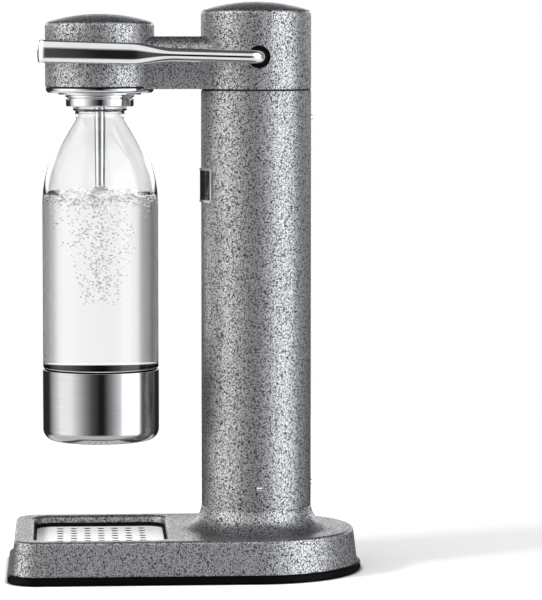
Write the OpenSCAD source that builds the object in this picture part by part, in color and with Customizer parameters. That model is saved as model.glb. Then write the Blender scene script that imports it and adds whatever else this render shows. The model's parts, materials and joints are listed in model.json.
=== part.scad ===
// Sparkling water maker: a lever-worked carbonator on a weighted base.
// Origin: middle of the base, on the table. +Z is up and the front faces -Y.

/* [Base] */
// Width of the base at its widest, lowest edge
base_w = 153; // [150:0.5:158]
// Length of the base from front to back
base_len = 258; // [254:1:272]
// Radius of the two front corners at the widest edge
front_corner_r = 22; // [18:0.5:26]
// Height of the rubber feet below the plinth
foot_h = 1.2; // [1:0.1:1.6]
// Radius of each rubber foot
foot_r = 9; // [7:0.5:10]
// Height of the plinth's upper edge above the table
plinth_top = 6.2; // [6:0.1:7]
// Thickness of the plinth's floor
plinth_floor = 2.4; // [2:0.1:2.8]
// Width of the plinth's rim, which the metal shell stands on
plinth_rim = 6.5; // [5.6:0.1:7]
// How far the metal shell stands in from the plinth's edge
shell_inset = 2.5; // [1.8:0.1:2.8]
// How far the shell's sides lean in from bottom to top
shell_lean = 2.7; // [1.5:0.1:3.2]
// Height of the shell's top face above the table
base_top = 30.6; // [30:0.1:33]
// Wall of the base shell
shell_wall = 2.5; // [2:0.1:2.8]
// Bevel round the shell's top edge
shell_edge = 1.2; // [0.8:0.1:1.6]
// Radius of the cove that leads up to the tower
cove_r = 18; // [17:0.5:20]
// Height of the cove's upper edge above the shell's top face
cove_h = 16.2; // [15:0.1:16.6]

/* [Drip tray] */
// Rim between the well for the tray and the base's widest edge, on each side
well_side_rim = 16.5; // [15.5:0.5:18]
// Rim between the well and the base's front edge
well_front_rim = 18.7; // [17.5:0.1:20]
// Gap between the well and the cove's lower edge
well_back_gap = 8; // [6:0.5:10]
// Corner radius of the well
well_corner_r = 13; // [11:0.5:15]
// Height of the well's floor above the plinth's upper edge
well_floor_up = 2; // [1.8:0.1:2.6]
// Wall and floor of the well
well_wall = 1.8; // [1.5:0.1:2]
// Radius of the rounded rim round the well
well_rim_r = 3; // [2:0.1:3.4]
// Depth of the grille's face below the shell's top face
grille_drop = 7.8; // [7:0.1:9]
// Thickness of the grille plate
grille_t = 1.5; // [1.2:0.1:1.8]
// Wall of the tray that carries the grille
tray_wall = 2.4; // [2.2:0.1:2.8]
// Thickness of the thin lip round the grille
tray_lip = 1; // [0.8:0.1:1.2]
// How far the tray's rim stands above the grille
tray_rim_up = 2.8; // [2:0.1:3.2]
// Floor of the tray
tray_floor = 1.5; // [1.2:0.1:2]
// Diameter of the grille's round holes
grille_hole_d = 5.4; // [4:0.1:6.4]
// Distance from hole to hole, front to back
grille_column_pitch = 10.1; // [9:0.1:11]
// Distance from hole to hole, across
grille_row_pitch = 12; // [10:0.1:12.6]
// Least plain rim of the grille at its front and back
grille_end_rim = 15; // [8:0.5:20]
// Least plain rim of the grille at its sides
grille_side_rim = 9; // [6:0.5:14]

/* [Tower] */
// Outer radius of the tower and of the cap on it
tower_r = 40; // [39.6:0.1:40.6]
// Wall of the tower tube
tower_wall = 2; // [1.6:0.1:2.2]
// Height of the tower tube's upper end above the table
tower_top = 349.9; // [346:0.1:354]
// Thickness of the black gasket between tower and cap
seam_t = 1.5; // [1:0.1:2]
// Wall of the spigot and skirt rings inside the tower
ring_wall = 4.3; // [3.8:0.1:4.6]
// Length of the spigot above its seat in the base
spigot_h = 35; // [30:1:40]
// Depth of the spigot's seat below the cove's upper edge
spigot_seat = 6.8; // [5:0.2:9]
// Height of the lower tower screws above the table
low_screw_z = 63.4; // [60:0.2:66]
// Height of the upper tower screw above the table
high_screw_z = 330.6; // [322:0.2:334]

/* [Housing] */
// Distance from the tower's axis forward to the bottle's axis
reach = 113.4; // [112:0.2:116]
// Height of the cap, from the gasket to its crown
cap_h = 62.8; // [62:0.2:66]
// Radius of the domed tops of cap and head
dome_r = 125; // [115:1:150]
// Radius of the rounded rims of cap and head
rim_edge_r = 3; // [2:0.1:3.6]
// Wall of the cast housing
housing_wall = 3; // [2.6:0.1:3.4]
// Radius of the head over the bottle
head_r = 39.5; // [39.1:0.1:40.1]
// Height of the head's lower edge above the cap's lower edge
head_up = 1.8; // [1.7:0.1:2.6]
// Height of the head, from its lower edge to its crown
head_h = 52.2; // [51:0.2:54]
// Width of the bridge between head and cap
bridge_w = 48; // [44:0.5:52]
// Height of the bridge above the cap's lower edge
bridge_h = 37.8; // [35:0.2:40]
// Radius of the bridge's two upper edges
bridge_edge_r = 11; // [8:0.5:13]
// Thickness of the cover under the bridge
cover_t = 1.9; // [1.5:0.1:2.1]
// Radius of the housing's screw posts
post_r = 4; // [3.6:0.1:4.4]

/* [Head] */
// Thickness of the gasket above the head's steel ring
head_gasket_t = 0.7; // [0.5:0.1:1]
// Radius of the steel ring under the head
head_ring_r = 39; // [37.8:0.1:39]
// Height of the steel ring's rim
head_ring_h = 4; // [3.6:0.1:4.6]
// How far the ring's inner step reaches below its rim
head_ring_step = 1.3; // [1:0.1:1.8]
// Radius of the chrome collar's main band
collar_r = 24.5; // [24:0.1:25]
// Height of the chrome collar
collar_h = 8.6; // [8:0.1:9.4]
// How far the collar's upper lip stands out
collar_lip = 0.5; // [0.3:0.1:0.8]
// Radius of the receiver's shank, which the collar screws on
receiver_r = 21.5; // [21:0.1:22]
// Radius of the receiver's bore, which takes the bottle's neck
receiver_bore_r = 18.4; // [18.3:0.05:18.7]
// Thickness of the receiver's flange
receiver_flange_t = 3; // [2.6:0.1:3.4]
// Radius of the receiver's flange
receiver_flange_r = 33; // [33:0.1:34]
// Thickness of the receiver's ceiling above the neck
receiver_ceiling = 5; // [4.6:0.1:6]
// Height of the rubber neck seal
neck_seal_h = 3.4; // [3:0.1:3.8]
// Radius of the gas manifold above the receiver
manifold_r = 13; // [12:0.2:14]
// Height of the gas manifold
manifold_h = 15.5; // [15:0.1:17]
// Radius of the nozzle tube at its top
nozzle_top_r = 4; // [3.8:0.05:4.2]
// Radius of the nozzle tube at its lower end
nozzle_low_r = 3.45; // [3.2:0.05:3.7]
// Depth of the nozzle's tip below the collar's lower edge
nozzle_depth = 59.6; // [56:0.2:61]

/* [Bottle] */
// Outer radius of the clear bottle
bottle_r = 42; // [41.5:0.1:42.4]
// Height of the bottle from its cup's base to its neck ledge
bottle_h = 242.5; // [238:0.5:246]
// Wall of the clear bottle
bottle_wall = 1.6; // [1.3:0.1:1.8]
// Outer radius of the neck below the ledge
neck_r = 17.8; // [17.4:0.1:18]
// Height of the plain neck below the ledge
neck_h = 4; // [3:0.2:5]
// Radius of the ledge round the neck
ledge_r = 19.4; // [19:0.1:20.4]
// Thickness of the ledge
ledge_t = 2.7; // [2.2:0.1:3]
// Height of the threaded finish above the ledge
finish_h = 8.2; // [7.6:0.1:8.6]
// How far the thread ridges stand out of the finish
ridge_out = 0.7; // [0.4:0.1:0.8]
// Height of the shoulder's curve
shoulder_h = 65.6; // [60:0.2:70]
// Outer radius of the steel cup round the bottle's foot
cup_r = 42.25; // [42.1:0.05:42.8]
// Height of the steel cup
cup_h = 52; // [46:0.5:58]
// Radius of the cup's lower corner
cup_corner_r = 8.5; // [7.5:0.1:9.5]
// Wall of the steel cup
cup_wall = 0.8; // [0.6:0.05:1]
// Thickness of the black liner inside the cup
liner_t = 0.6; // [0.4:0.05:0.8]
// Height of the water above the cup's base
water_h = 179.5; // [156:0.5:182]

/* [Lever] */
// Height of the lever's pivot above the cap's lower edge
pivot_up = 23.1; // [22.6:0.1:24]
// Radius of the lever's round rod
rod_r = 4.75; // [4.4:0.05:4.9]
// Distance of each arm's middle line from the middle plane
arm_x = 46.5; // [46:0.1:48]
// Distance from the pivot forward to the front bar's middle line
lever_len = 156.6; // [156.5:0.1:160]
// Upward slope of the arms at rest, in degrees
arm_slope = 1.5; // [1:0.1:2]
// Distance from the pivot at which the round rod begins to flatten
flat_from = 60; // [55:1:64]
// Distance from the pivot at which the arm is flat
flat_to = 92; // [88:1:96]
// Height of the flattened band where it begins
band_h = 15.5; // [14:0.1:16]
// Height of the flattened band at the front bar
bar_h = 16.3; // [15:0.1:17]
// Thickness of the flattened arms beside the head
arm_t = 5; // [4:0.1:5.2]
// Thickness of the front bar
band_t = 2.8; // [2.4:0.1:3]
// Radius of the lever's two front corners, at the middle line
lever_corner_r = 4; // [3.4:0.2:6]
// Radius of the shaft that joins the arms inside the cap
shaft_r = 6.3; // [6:0.1:6.6]
// Length of the journal on each side, from the shaft's socket to the bend
journal_len = 16.2; // [14:0.2:18]
// Radius of the cam's round lobe
lobe_r = 10.5; // [10:0.1:10.8]
// Distance of the lobe's middle from the pivot
lobe_throw = 5.85; // [5:0.05:6.2]
// Width of the cam along the shaft
cam_w = 10; // [8:0.5:12]
// Wall of the black bushes
bush_wall = 1.7; // [1.4:0.1:2]
// Radius of the bushes' outer flange
bush_flange_r = 8.1; // [7.6:0.1:8.6]

/* [Gas] */
// Radius of the gas cylinder
gas_r = 30; // [29.5:0.1:30.2]
// Height of the cylinder's base above the table
gas_z = 5; // [4.6:0.1:6]
// Height of the cylinder from its base to the top of its shoulder
gas_h = 309; // [304:0.5:312]
// Wall of the gas cylinder
gas_wall = 3; // [2.4:0.1:3.6]
// Radius of the cylinder's shoulder
gas_shoulder_r = 22; // [18:0.5:22]
// Radius of the cylinder's lower corner
gas_foot_r = 8; // [6:0.5:10]
// Radius of the cylinder valve's thread
valve_thread_r = 10.5; // [10.2:0.1:10.6]
// Height of the cylinder valve above the shoulder
valve_h = 31.2; // [30.8:0.1:31.4]
// Radius of the valve block below its flange
block_r = 16; // [15:0.2:17]
// Radius of the valve block's flange
block_flange_r = 20; // [19:0.2:21]
// Height of the valve block's flange
block_flange_h = 13.5; // [13:0.1:13.8]
// Radius of the plunger's stem
stem_r = 3; // [2.8:0.05:3.2]
// Radius of the plunger's head
plunger_r = 8; // [7.2:0.1:8.1]
// Thickness of the plunger's head
plunger_t = 3; // [2.6:0.1:3.2]
// Thickness of the bracket plate inside the tower's top
bracket_t = 3; // [2.6:0.1:3.4]
// Length of the bracket's skirt
skirt_h = 68; // [60:1:74]
// Radius of the gas hose
hose_r = 2.5; // [2:0.1:2.7]

/* [Badge] */
// Height of the badge plate's lower edge above the table
badge_z = 269.3; // [255:0.5:280]
// Height of the badge plate
badge_h = 24.8; // [20:0.2:28]
// Half the angle that the badge plate wraps round the tower, in degrees
badge_half_angle = 34.7; // [28:0.1:38]
// How far the badge plate stands out of the tower
badge_t = 1.2; // [0.9:0.1:1.5]
// Width of the badge plate's raised frame
badge_rim = 1.7; // [1.2:0.1:2.2]
// Corner radius of the badge plate
badge_corner_r = 2.2; // [1.9:0.1:3]

/* [Hidden] */
$fn = 96;

// Clearances: what moves apart, what fits snugly, what is glued, a running shaft
move_gap = 0.3;
snug_gap = 0.1;
glue_gap = 0.1;
run_gap = 0.08;
// Overrun of every cut past the face that it opens
cut = 1;
// How deep a piece is sunk into another of the same casting, so that they join
sink = 0.5;
full_turn = 360;

// Main places
base_half = base_w / 2;
front_y = -base_len / 2;
corner_x = base_half - front_corner_r;
corner_y = front_y + front_corner_r;
tower_y = base_len / 2 - base_half;
head_y = tower_y - reach;
seam_z = base_top + cove_h;
cap_z = tower_top + seam_t;
cap_crown = cap_z + cap_h;
head_z = cap_z + head_up;
head_crown = head_z + head_h;
bridge_top = cap_z + bridge_h;
pivot_z = cap_z + pivot_up;

// Fasteners: shank, tapped hole, head and length
screw_r = 1.5;
tapped_r = screw_r + glue_gap / 2;
screw_head_r = 3;
screw_head_h = 2;
screw_len = 10;
slot_w = 0.8;
slot_deep = 0.7;
dome_head_r = 2.2;
dome_head_h = 1.7;
grub_len = 3;

// Base
boss_r = 3.8;
well_w = base_w - 2 * well_side_rim;
well_front_y = front_y + well_front_rim;
well_back_y = tower_y - tower_r - cove_r - well_back_gap;
well_len = well_back_y - well_front_y;
well_y = (well_front_y + well_back_y) / 2;
well_bottom = plinth_top + well_floor_up;
bay_r = tower_r - tower_wall - snug_gap * 2 - ring_wall;
ring_r = tower_r - tower_wall - snug_gap * 2;
spigot_z = seam_z - spigot_seat;
mid_screw_back = 20;
rear_screw_angle = 32;
foot_back_angle = 30;
plinth_step = 1;

// Where the plinth's screws stand, and the rubber feet
foot_front_x_share = 0.72;
foot_behind_screw = 9.7;
shell_inner = shell_inset + shell_lean + shell_wall;
foot_front_x = base_half * foot_front_x_share;
screw_front_x = foot_front_x - foot_r;
screw_front_y = (front_y + shell_inner + well_front_y - well_wall) / 2;
screw_mid_y = well_back_y + mid_screw_back;
screw_side_x = base_half - shell_inner - boss_r + sink;
rear_screw_reach = base_half - shell_inner - boss_r * 2;
rear_screw_x = rear_screw_reach * sin(rear_screw_angle);
rear_screw_y = tower_y + rear_screw_reach * cos(rear_screw_angle);
screw_places = [
    for (side = [-1, 1])
        each [
            [side * screw_front_x, screw_front_y],
            [side * screw_side_x, screw_mid_y],
            [side * rear_screw_x, rear_screw_y],
        ]
];
foot_reach = base_half - foot_r - shell_inset * 2;
foot_places = [
    for (side = [-1, 1])
        each [
            [side * foot_front_x, screw_front_y + foot_behind_screw],
            [side * foot_reach * cos(foot_back_angle), tower_y + foot_reach * sin(foot_back_angle)],
        ]
];

// Drip tray and grille
grille_top = base_top - grille_drop;
grille_z = grille_top - grille_t;
tray_z = well_bottom + move_gap;
tray_w = well_w - 4 * move_gap;
tray_len = well_len - 4 * move_gap;
tray_corner_r = well_corner_r - 2 * move_gap;
grille_w = tray_w - 2 * (tray_lip + move_gap);
grille_len = tray_len - 2 * (tray_lip + move_gap);
tray_seat_z = grille_z - move_gap;
holes_shift = 1;
holes_y = well_y + holes_shift;

// Inside the tower's top
bracket_down = 3.9;
bracket_z = tower_top - bracket_t - bracket_down;
bracket_top = bracket_z + bracket_t;
post_reach = 29;
post_angles = [45, 135, 225, 315];
block_low_h = 13;
block_z = bracket_z - block_low_h;
block_top = bracket_top + block_flange_h;
nut_h = 7;
nut_r = 21;
gas_shoulder = gas_z + gas_h;
gas_valve_top = gas_shoulder + valve_h;
washer_h = 1.8;
washer_r = 9.5;
washer_hole_r = 4;
washer_z = gas_valve_top + move_gap;
chamber_z = washer_z + washer_h + move_gap;
chamber_r = 5;
chamber_h = 3;
pin_r = 1.5;
pin_out = 3.3;
pin_in = 8;
pin_top = gas_valve_top + pin_out;
spring_seat_r = 8.5;
spring_seat_deep = 5.5;
port_r = 1.3;
port_y = tower_y - block_flange_r;
drill_y = tower_y - (block_flange_r + spring_seat_r) / 2;
port_down = 3.9;
port_z = block_top - port_down;
spring_wire_r = 0.55;
spring_r = 6;
spring_turns = 4;
cam_low = pivot_z - lobe_r;
plunger_top = cam_low - move_gap;
plunger_low = plunger_top - plunger_t;
neck_out_r = 15;
neck_bore_r = 8;
neck_in_h = 10;
fitting_r = 2.3;
fitting_in = 3.5;
fitting_hex_r = 4.3;
fitting_hex_h = 4;
hose_lead = 8;
hose_rings = 14;
hose_sides = 12;
valve_hex_r = 13;
valve_hex_h = 6;
guide_z = spigot_z + spigot_h;
guide_lip = 2;
guide_len = 12;
guide_slack = 0.42;
guide_r = gas_r + guide_slack;

// Lever, shaft and bushes
bush_bore_r = rod_r + run_gap;
bush_r = bush_bore_r + bush_wall;
bush_flange_t = 1.7;
bush_face_x = tower_r - snug_gap;
bush_past_wall = 4.5;
bush_in_x = tower_r - housing_wall - bush_past_wall;
bend_x = bush_face_x + move_gap;
socket_x = bend_x - journal_len;
shaft_half = bush_in_x - move_gap;
cam_wall = 2.5;
band_power = 2.1;
rim_steps = 5;
bend_steps = 7;
flat_steps = 6;
corner_steps = 6;
lever_sides = 28;
// How far the bent rod is drawn in where it enters its journal
weld_in = 0.9;

// Head
ring_top = head_z - head_gasket_t;
ring_rim_z = ring_top - head_ring_h;
collar_top = ring_rim_z - head_ring_step;
collar_z = collar_top - collar_h;
flange_z = ring_top;
receiver_top = flange_z + receiver_flange_t;
ceiling_z = receiver_top - receiver_ceiling;
seal_z = ceiling_z - move_gap - neck_seal_h;
spigot_r = 8;
manifold_top = receiver_top + manifold_h;
manifold_port_z = receiver_top + manifold_h / 2;
nozzle_in = 5;
nozzle_seal_r = 0.8;
nozzle_seal_up = 1.5;
head_ring_edge_r = 2.6;
head_ring_step_r = 30;
collar_band_share = 0.7;
collar_groove_share = 0.07;
nozzle_bore_r = 1.2;
nozzle_tip_z = collar_z - nozzle_depth;
nozzle_tip_h = 4;
nozzle_taper_h = 50;
head_post_reach = 28.5;
head_post_angles = [30, 150, 270];
relief_r = 6;
relief_h = 14;
relief_bore_r = 4;
relief_cap_h = 4;

// Bottle
ledge_z = collar_z - move_gap - ledge_t;
neck_z = ledge_z - neck_h;
shoulder_z = neck_z - shoulder_h;
bottle_top = ledge_z + ledge_t + finish_h;
cup_z = ledge_z + ledge_t - bottle_h;
cup_top = cup_z + cup_h;
water_z = cup_z + water_h;
foot_r_in = cup_r - cup_wall - liner_t - 2 * glue_gap;
floor_share = 1.5;
cup_floor = cup_wall * floor_share;
liner_floor = liner_t * floor_share;
pet_z = cup_z + cup_floor + liner_floor + glue_gap;
shoulder_shares = [0.5, 0.463, 0.7];
shoulder_steps = 14;
pet_corner_r = cup_corner_r - cup_wall - liner_t - glue_gap;
finish_step = 0.6;
finish_r = neck_r - finish_step;
ridge_h = 1.2;
ridge_shares = [0.25, 0.65];

// Shapes that several pieces use

module ring(r_out, r_in, h) {
    difference() {
        cylinder(r = r_out, h = h);
        translate([0, 0, -cut]) cylinder(r = r_in, h = h + 2 * cut);
    }
}

module rounded_rect(w, l, r) {
    translate([-w / 2 + r, -l / 2]) square([w - 2 * r, l]);
    translate([-w / 2, -l / 2 + r]) square([w, l - 2 * r]);
    for (x = [-1, 1], y = [-1, 1]) translate([x * (w / 2 - r), y * (l / 2 - r)]) circle(r = r);
}

module rounded_block(w, l, r, z_low, z_high) {
    translate([0, 0, z_low]) linear_extrude(z_high - z_low) rounded_rect(w, l, r);
}

// A screw that points up, its head's upper face at the origin, with a driving slot
module screw(length = screw_len) {
    difference() {
        translate([0, 0, -screw_head_h]) cylinder(r = screw_head_r, h = screw_head_h);
        translate([-screw_head_r, -slot_w / 2, -screw_head_h - cut])
            cube([2 * screw_head_r, slot_w, slot_deep + cut]);
    }
    translate([0, 0, -slot_w]) cylinder(r = screw_r, h = length + slot_w);
}

// Triangles that skin a closed row of rings, each with the same number of points
function skin_faces(rings, sides) = concat(
    [
        for (i = [0 : rings - 2], j = [0 : sides - 1])
            let (a = i * sides + j, b = i * sides + (j + 1) % sides)
            each [[a, a + sides, b], [b, a + sides, b + sides]]
    ],
    [for (j = [1 : sides - 2]) [0, j, j + 1]],
    [for (j = [1 : sides - 2]) let (e = (rings - 1) * sides) [e, e + j + 1, e + j]]
);

module skin(rings) {
    polyhedron(
        points = [for (r = rings) each r],
        faces = skin_faces(len(rings), len(rings[0]))
    );
}

// A helical spring of round wire, standing on the origin
module coil(r, wire, height, turns, steps = 14, sides = 6) {
    lift = height - 2 * wire;
    last = turns * steps;
    skin([
        for (i = [0 : last])
            let (a = full_turn * i / steps, z = wire + lift * i / last)
            [
                for (j = [0 : sides - 1])
                    let (b = full_turn * j / sides, q = r + wire * cos(b))
                    [q * cos(a), q * sin(a), z - wire * sin(b)]
            ]
    ]);
}

// Base

// Plan of the base: round behind, straight sides, rounded front corners
module base_plan(inset) {
    translate([0, tower_y]) circle(r = base_half - inset);
    translate([-base_half + inset, corner_y])
        square([2 * (base_half - inset), tower_y - corner_y]);
    translate([-corner_x, front_y + inset]) square([2 * corner_x, front_corner_r]);
    for (side = [-1, 1]) translate([side * corner_x, corner_y]) circle(r = front_corner_r - inset);
}

function shell_in(z) = shell_inset + shell_lean * (z - plinth_top) / (base_top - plinth_top);

// The shell's leaning sides, with a bevel at the top
module shell_form(inset, z_low, z_high, bevel) {
    posts = [
        [0, tower_y, base_half],
        [-corner_x, corner_y, front_corner_r],
        [corner_x, corner_y, front_corner_r],
    ];
    hull() for (p = posts) {
        r_low = p.z - inset - shell_in(z_low);
        r_high = p.z - inset - shell_in(z_high);
        translate([p.x, p.y, z_low]) cylinder(r1 = r_low, r2 = r_high, h = z_high - bevel - z_low);
        translate([p.x, p.y, z_high - bevel]) cylinder(r1 = r_high, r2 = r_high - bevel, h = bevel);
    }
}

module cove() {
    toe = tower_r + cove_r;
    translate([0, tower_y, 0]) rotate_extrude() difference() {
        translate([0, base_top - shell_wall / 2]) square([toe, cove_h + shell_wall / 2]);
        translate([toe, base_top + cove_r - snug_gap]) circle(r = cove_r);
    }
}

// What the well's rounded rim takes away
module well_rim() translate([0, well_y, base_top]) for (i = [0 : rim_steps - 1]) hull()
    for (k = [i, i + 1])
        let (
            a = full_turn / 4 * k / rim_steps,
            grow = well_rim_r * (1 - cos(a)),
            z = well_rim_r * (sin(a) - 1)
        )
        rounded_block(well_w + 2 * grow, well_len + 2 * grow, well_corner_r + grow, z, z + cut);

module base_shell() color([0.55, 0.57, 0.6]) difference() {
    union() {
        difference() {
            shell_form(0, plinth_top, base_top, shell_edge);
            shell_form(shell_wall, plinth_top - cut, base_top - shell_wall, snug_gap);
        }
        translate([0, well_y, 0]) rounded_block(
            well_w + 2 * well_wall, well_len + 2 * well_wall, well_corner_r + well_wall,
            well_bottom - well_wall, base_top - shell_wall / 2
        );
        translate([0, well_y, 0]) rounded_block(
            well_w + 2 * (well_rim_r + well_wall), well_len + 2 * (well_rim_r + well_wall),
            well_corner_r + well_rim_r + well_wall,
            base_top - well_rim_r - well_wall, base_top - shell_wall / 2
        );
        for (p = screw_places) translate([p.x, p.y, foot_h + plinth_floor])
            cylinder(r = boss_r, h = base_top - foot_h - plinth_floor - shell_wall / 2);
        cove();
    }
    translate([0, well_y, 0])
        rounded_block(well_w, well_len, well_corner_r, well_bottom, base_top + cut);
    well_rim();
    translate([0, tower_y, 0]) cylinder(r = bay_r, h = seam_z + cut);
    translate([0, tower_y, spigot_z]) cylinder(r = ring_r + snug_gap, h = spigot_seat + cut);
    for (p = screw_places) translate([p.x, p.y, foot_h]) cylinder(r = tapped_r, h = screw_len);
}

module base_plinth() color([0.08, 0.08, 0.08]) difference() {
    union() {
        translate([0, 0, foot_h]) linear_extrude(plinth_top - plinth_step - foot_h) base_plan(0);
        translate([0, 0, plinth_top - plinth_step - snug_gap])
            linear_extrude(plinth_step + snug_gap) base_plan(plinth_step);
    }
    translate([0, 0, foot_h + plinth_floor]) linear_extrude(plinth_top) base_plan(plinth_rim);
    translate([0, tower_y, 0]) cylinder(r = bay_r, h = plinth_top + cut);
    for (p = screw_places) translate([p.x, p.y, 0]) {
        cylinder(r = screw_r + snug_gap, h = plinth_top);
        cylinder(r = screw_head_r + snug_gap, h = foot_h + screw_head_h - slot_deep);
    }
}

module foot_pads() color([0.1, 0.1, 0.1])
    for (p = foot_places) translate(p) cylinder(r = foot_r, h = foot_h);

module plinth_screws() color([0.7, 0.7, 0.72])
    for (p = screw_places) translate([p.x, p.y, foot_h + screw_head_h - slot_deep])
        screw(screw_len - screw_head_h);

// Drip tray

module drip_tray() color([0.08, 0.08, 0.08]) translate([0, well_y, 0]) difference() {
    rounded_block(tray_w, tray_len, tray_corner_r, tray_z, grille_top + tray_rim_up);
    rounded_block(
        tray_w - 2 * tray_lip, tray_len - 2 * tray_lip, tray_corner_r - tray_lip,
        tray_seat_z, grille_top + tray_rim_up + cut
    );
    rounded_block(
        tray_w - 2 * tray_wall, tray_len - 2 * tray_wall, tray_corner_r - tray_wall,
        tray_z + tray_floor, grille_top + tray_rim_up + cut
    );
}

module drip_grille() color([0.85, 0.85, 0.87]) difference() {
    translate([0, well_y, 0]) rounded_block(
        grille_w, grille_len, tray_corner_r - tray_lip - move_gap, grille_z, grille_top
    );
    last_column = floor((grille_len - 2 * grille_end_rim) / grille_column_pitch);
    last_row = floor((grille_w - 2 * grille_side_rim) / grille_row_pitch);
    for (i = [0 : last_column], j = [0 : last_row])
        translate([
            (j - last_row / 2) * grille_row_pitch,
            holes_y + (i - last_column / 2) * grille_column_pitch,
            grille_z - cut,
        ]) cylinder(d = grille_hole_d, h = grille_t + 2 * cut);
}

// Tower

tower_screws_at = [[90, low_screw_z], [0, low_screw_z], [180, low_screw_z], [90, high_screw_z]];

// Turns its children to point outward from the tower's axis, with the origin on that axis
module outward(angle, z) translate([0, tower_y, z]) rotate([0, 0, angle]) rotate([0, 90, 0]) children();

module tower_tube() color([0.55, 0.57, 0.6]) difference() {
    translate([0, tower_y, seam_z]) ring(tower_r, tower_r - tower_wall, tower_top - seam_z);
    for (p = tower_screws_at) outward(p[0], p[1]) cylinder(r = screw_r + snug_gap, h = tower_r + cut);
}

module tower_spigot() color([0.7, 0.7, 0.72]) difference() {
    translate([0, tower_y, spigot_z]) ring(ring_r, bay_r, spigot_h);
    for (i = [0 : 2]) outward(tower_screws_at[i][0], low_screw_z) cylinder(r = tapped_r, h = tower_r);
}

module tower_screws() color([0.85, 0.85, 0.87]) {
    ball_r = (dome_head_r ^ 2 + dome_head_h ^ 2) / (2 * dome_head_h);
    for (p = tower_screws_at) outward(p[0], p[1]) {
        translate([0, 0, bay_r + snug_gap]) cylinder(r = screw_r, h = tower_r - bay_r);
        difference() {
            intersection() {
                translate([0, 0, tower_r]) cylinder(r = dome_head_r, h = dome_head_h + cut);
                translate([0, 0, tower_r + dome_head_h - ball_r]) sphere(r = ball_r);
            }
            translate([-slot_w / 2, -dome_head_r, tower_r + dome_head_h - slot_deep])
                cube([slot_w, 2 * dome_head_r, slot_deep + cut]);
        }
    }
}

module seam_gasket() color([0.05, 0.05, 0.05])
    translate([0, tower_y, tower_top]) ring(tower_r - seam_t / 3, tower_r - tower_wall, seam_t);

// The badge's outline seen from the front, drawn in by a margin on every side
module badge_outline(margin) {
    half = (tower_r + badge_t) * sin(badge_half_angle) - margin * cos(badge_half_angle);
    translate([0, badge_z + badge_h / 2])
        rounded_rect(2 * half, badge_h - 2 * margin, badge_corner_r - margin);
}

// A shell round the tower's front, cut to the badge's outline
module badge_shell(margin, t) intersection() {
    translate([0, tower_y, 0]) translate([0, 0, badge_z]) ring(tower_r + t, tower_r + glue_gap, badge_h);
    translate([0, tower_y, 0]) rotate([90, 0, 0])
        linear_extrude(tower_r + badge_t + cut) badge_outline(margin);
}

module badge_frame() color([0.75, 0.76, 0.78]) difference() {
    badge_shell(0, badge_t);
    translate([0, tower_y, 0]) rotate([90, 0, 0])
        linear_extrude(tower_r + badge_t + cut) badge_outline(badge_rim);
}

module badge_insert() color([0.03, 0.03, 0.03])
    badge_shell(badge_rim + snug_gap, badge_t - glue_gap * 3);

module cylinder_guide_lower() color([0.1, 0.1, 0.1]) translate([0, tower_y, guide_z]) {
    ring(ring_r, guide_r, guide_lip);
    translate([0, 0, -guide_len]) ring(bay_r - snug_gap, guide_r, guide_len + sink);
}

module cylinder_guide_upper() color([0.1, 0.1, 0.1]) translate([0, tower_y, bracket_z - skirt_h]) {
    translate([0, 0, -guide_lip]) ring(ring_r, guide_r, guide_lip);
    translate([0, 0, -sink]) ring(bay_r - snug_gap, guide_r, guide_len + sink);
}

// Upper housing: cap, bridge and head in one casting

// Half the section of a domed drum with a rounded rim
module drum_profile(r, z_low, crown) {
    rim_x = r - rim_edge_r;
    rim_z = crown - dome_r + sqrt((dome_r - rim_edge_r) ^ 2 - rim_x ^ 2);
    intersection() {
        translate([0, z_low]) square([rim_x * dome_r / (dome_r - rim_edge_r), crown - z_low]);
        translate([0, crown - dome_r]) circle(r = dome_r);
    }
    translate([0, z_low]) square([r, rim_z - z_low]);
    translate([rim_x, rim_z]) circle(r = rim_edge_r);
}

// Half the section of the hollow inside it
module drum_hollow(r, z_low, crown) intersection() {
    translate([0, z_low]) square([r - housing_wall, crown - z_low]);
    translate([0, crown - dome_r]) circle(r = dome_r - housing_wall);
}

// Height of the middle of the dome's wall above a circle of posts
function post_top(crown, at) = crown - dome_r
    + (sqrt(dome_r ^ 2 - (at + post_r) ^ 2) + sqrt((dome_r - housing_wall) ^ 2 - (at - post_r) ^ 2)) / 2;

module bridge_form(inset, z_low) {
    half = bridge_w / 2 - inset;
    edge = bridge_edge_r - inset;
    top = bridge_top - inset;
    translate([0, tower_y, 0]) rotate([90, 0, 0]) linear_extrude(reach) {
        translate([-half, z_low]) square([2 * half, top - edge - z_low]);
        translate([-half + edge, z_low]) square([2 * (half - edge), top - z_low]);
        for (side = [-1, 1]) translate([side * (half - edge), top - edge]) circle(r = edge);
    }
}

// The space between cap and head under the bridge, with a gap all round
module bridge_gap(gap, z_low, z_high) difference() {
    half = bridge_w / 2 - housing_wall - gap;
    translate([-half, head_y, z_low]) cube([2 * half, reach, z_high - z_low]);
    translate([0, tower_y, z_low - cut]) cylinder(r = tower_r + gap, h = z_high - z_low + 2 * cut);
    translate([0, head_y, z_low - cut]) cylinder(r = head_r + gap, h = z_high - z_low + 2 * cut);
}

module posts(y, at, angles, z_low, z_high, r)
    for (a = angles) translate([at * cos(a), y + at * sin(a), z_low]) cylinder(r = r, h = z_high - z_low);

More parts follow.
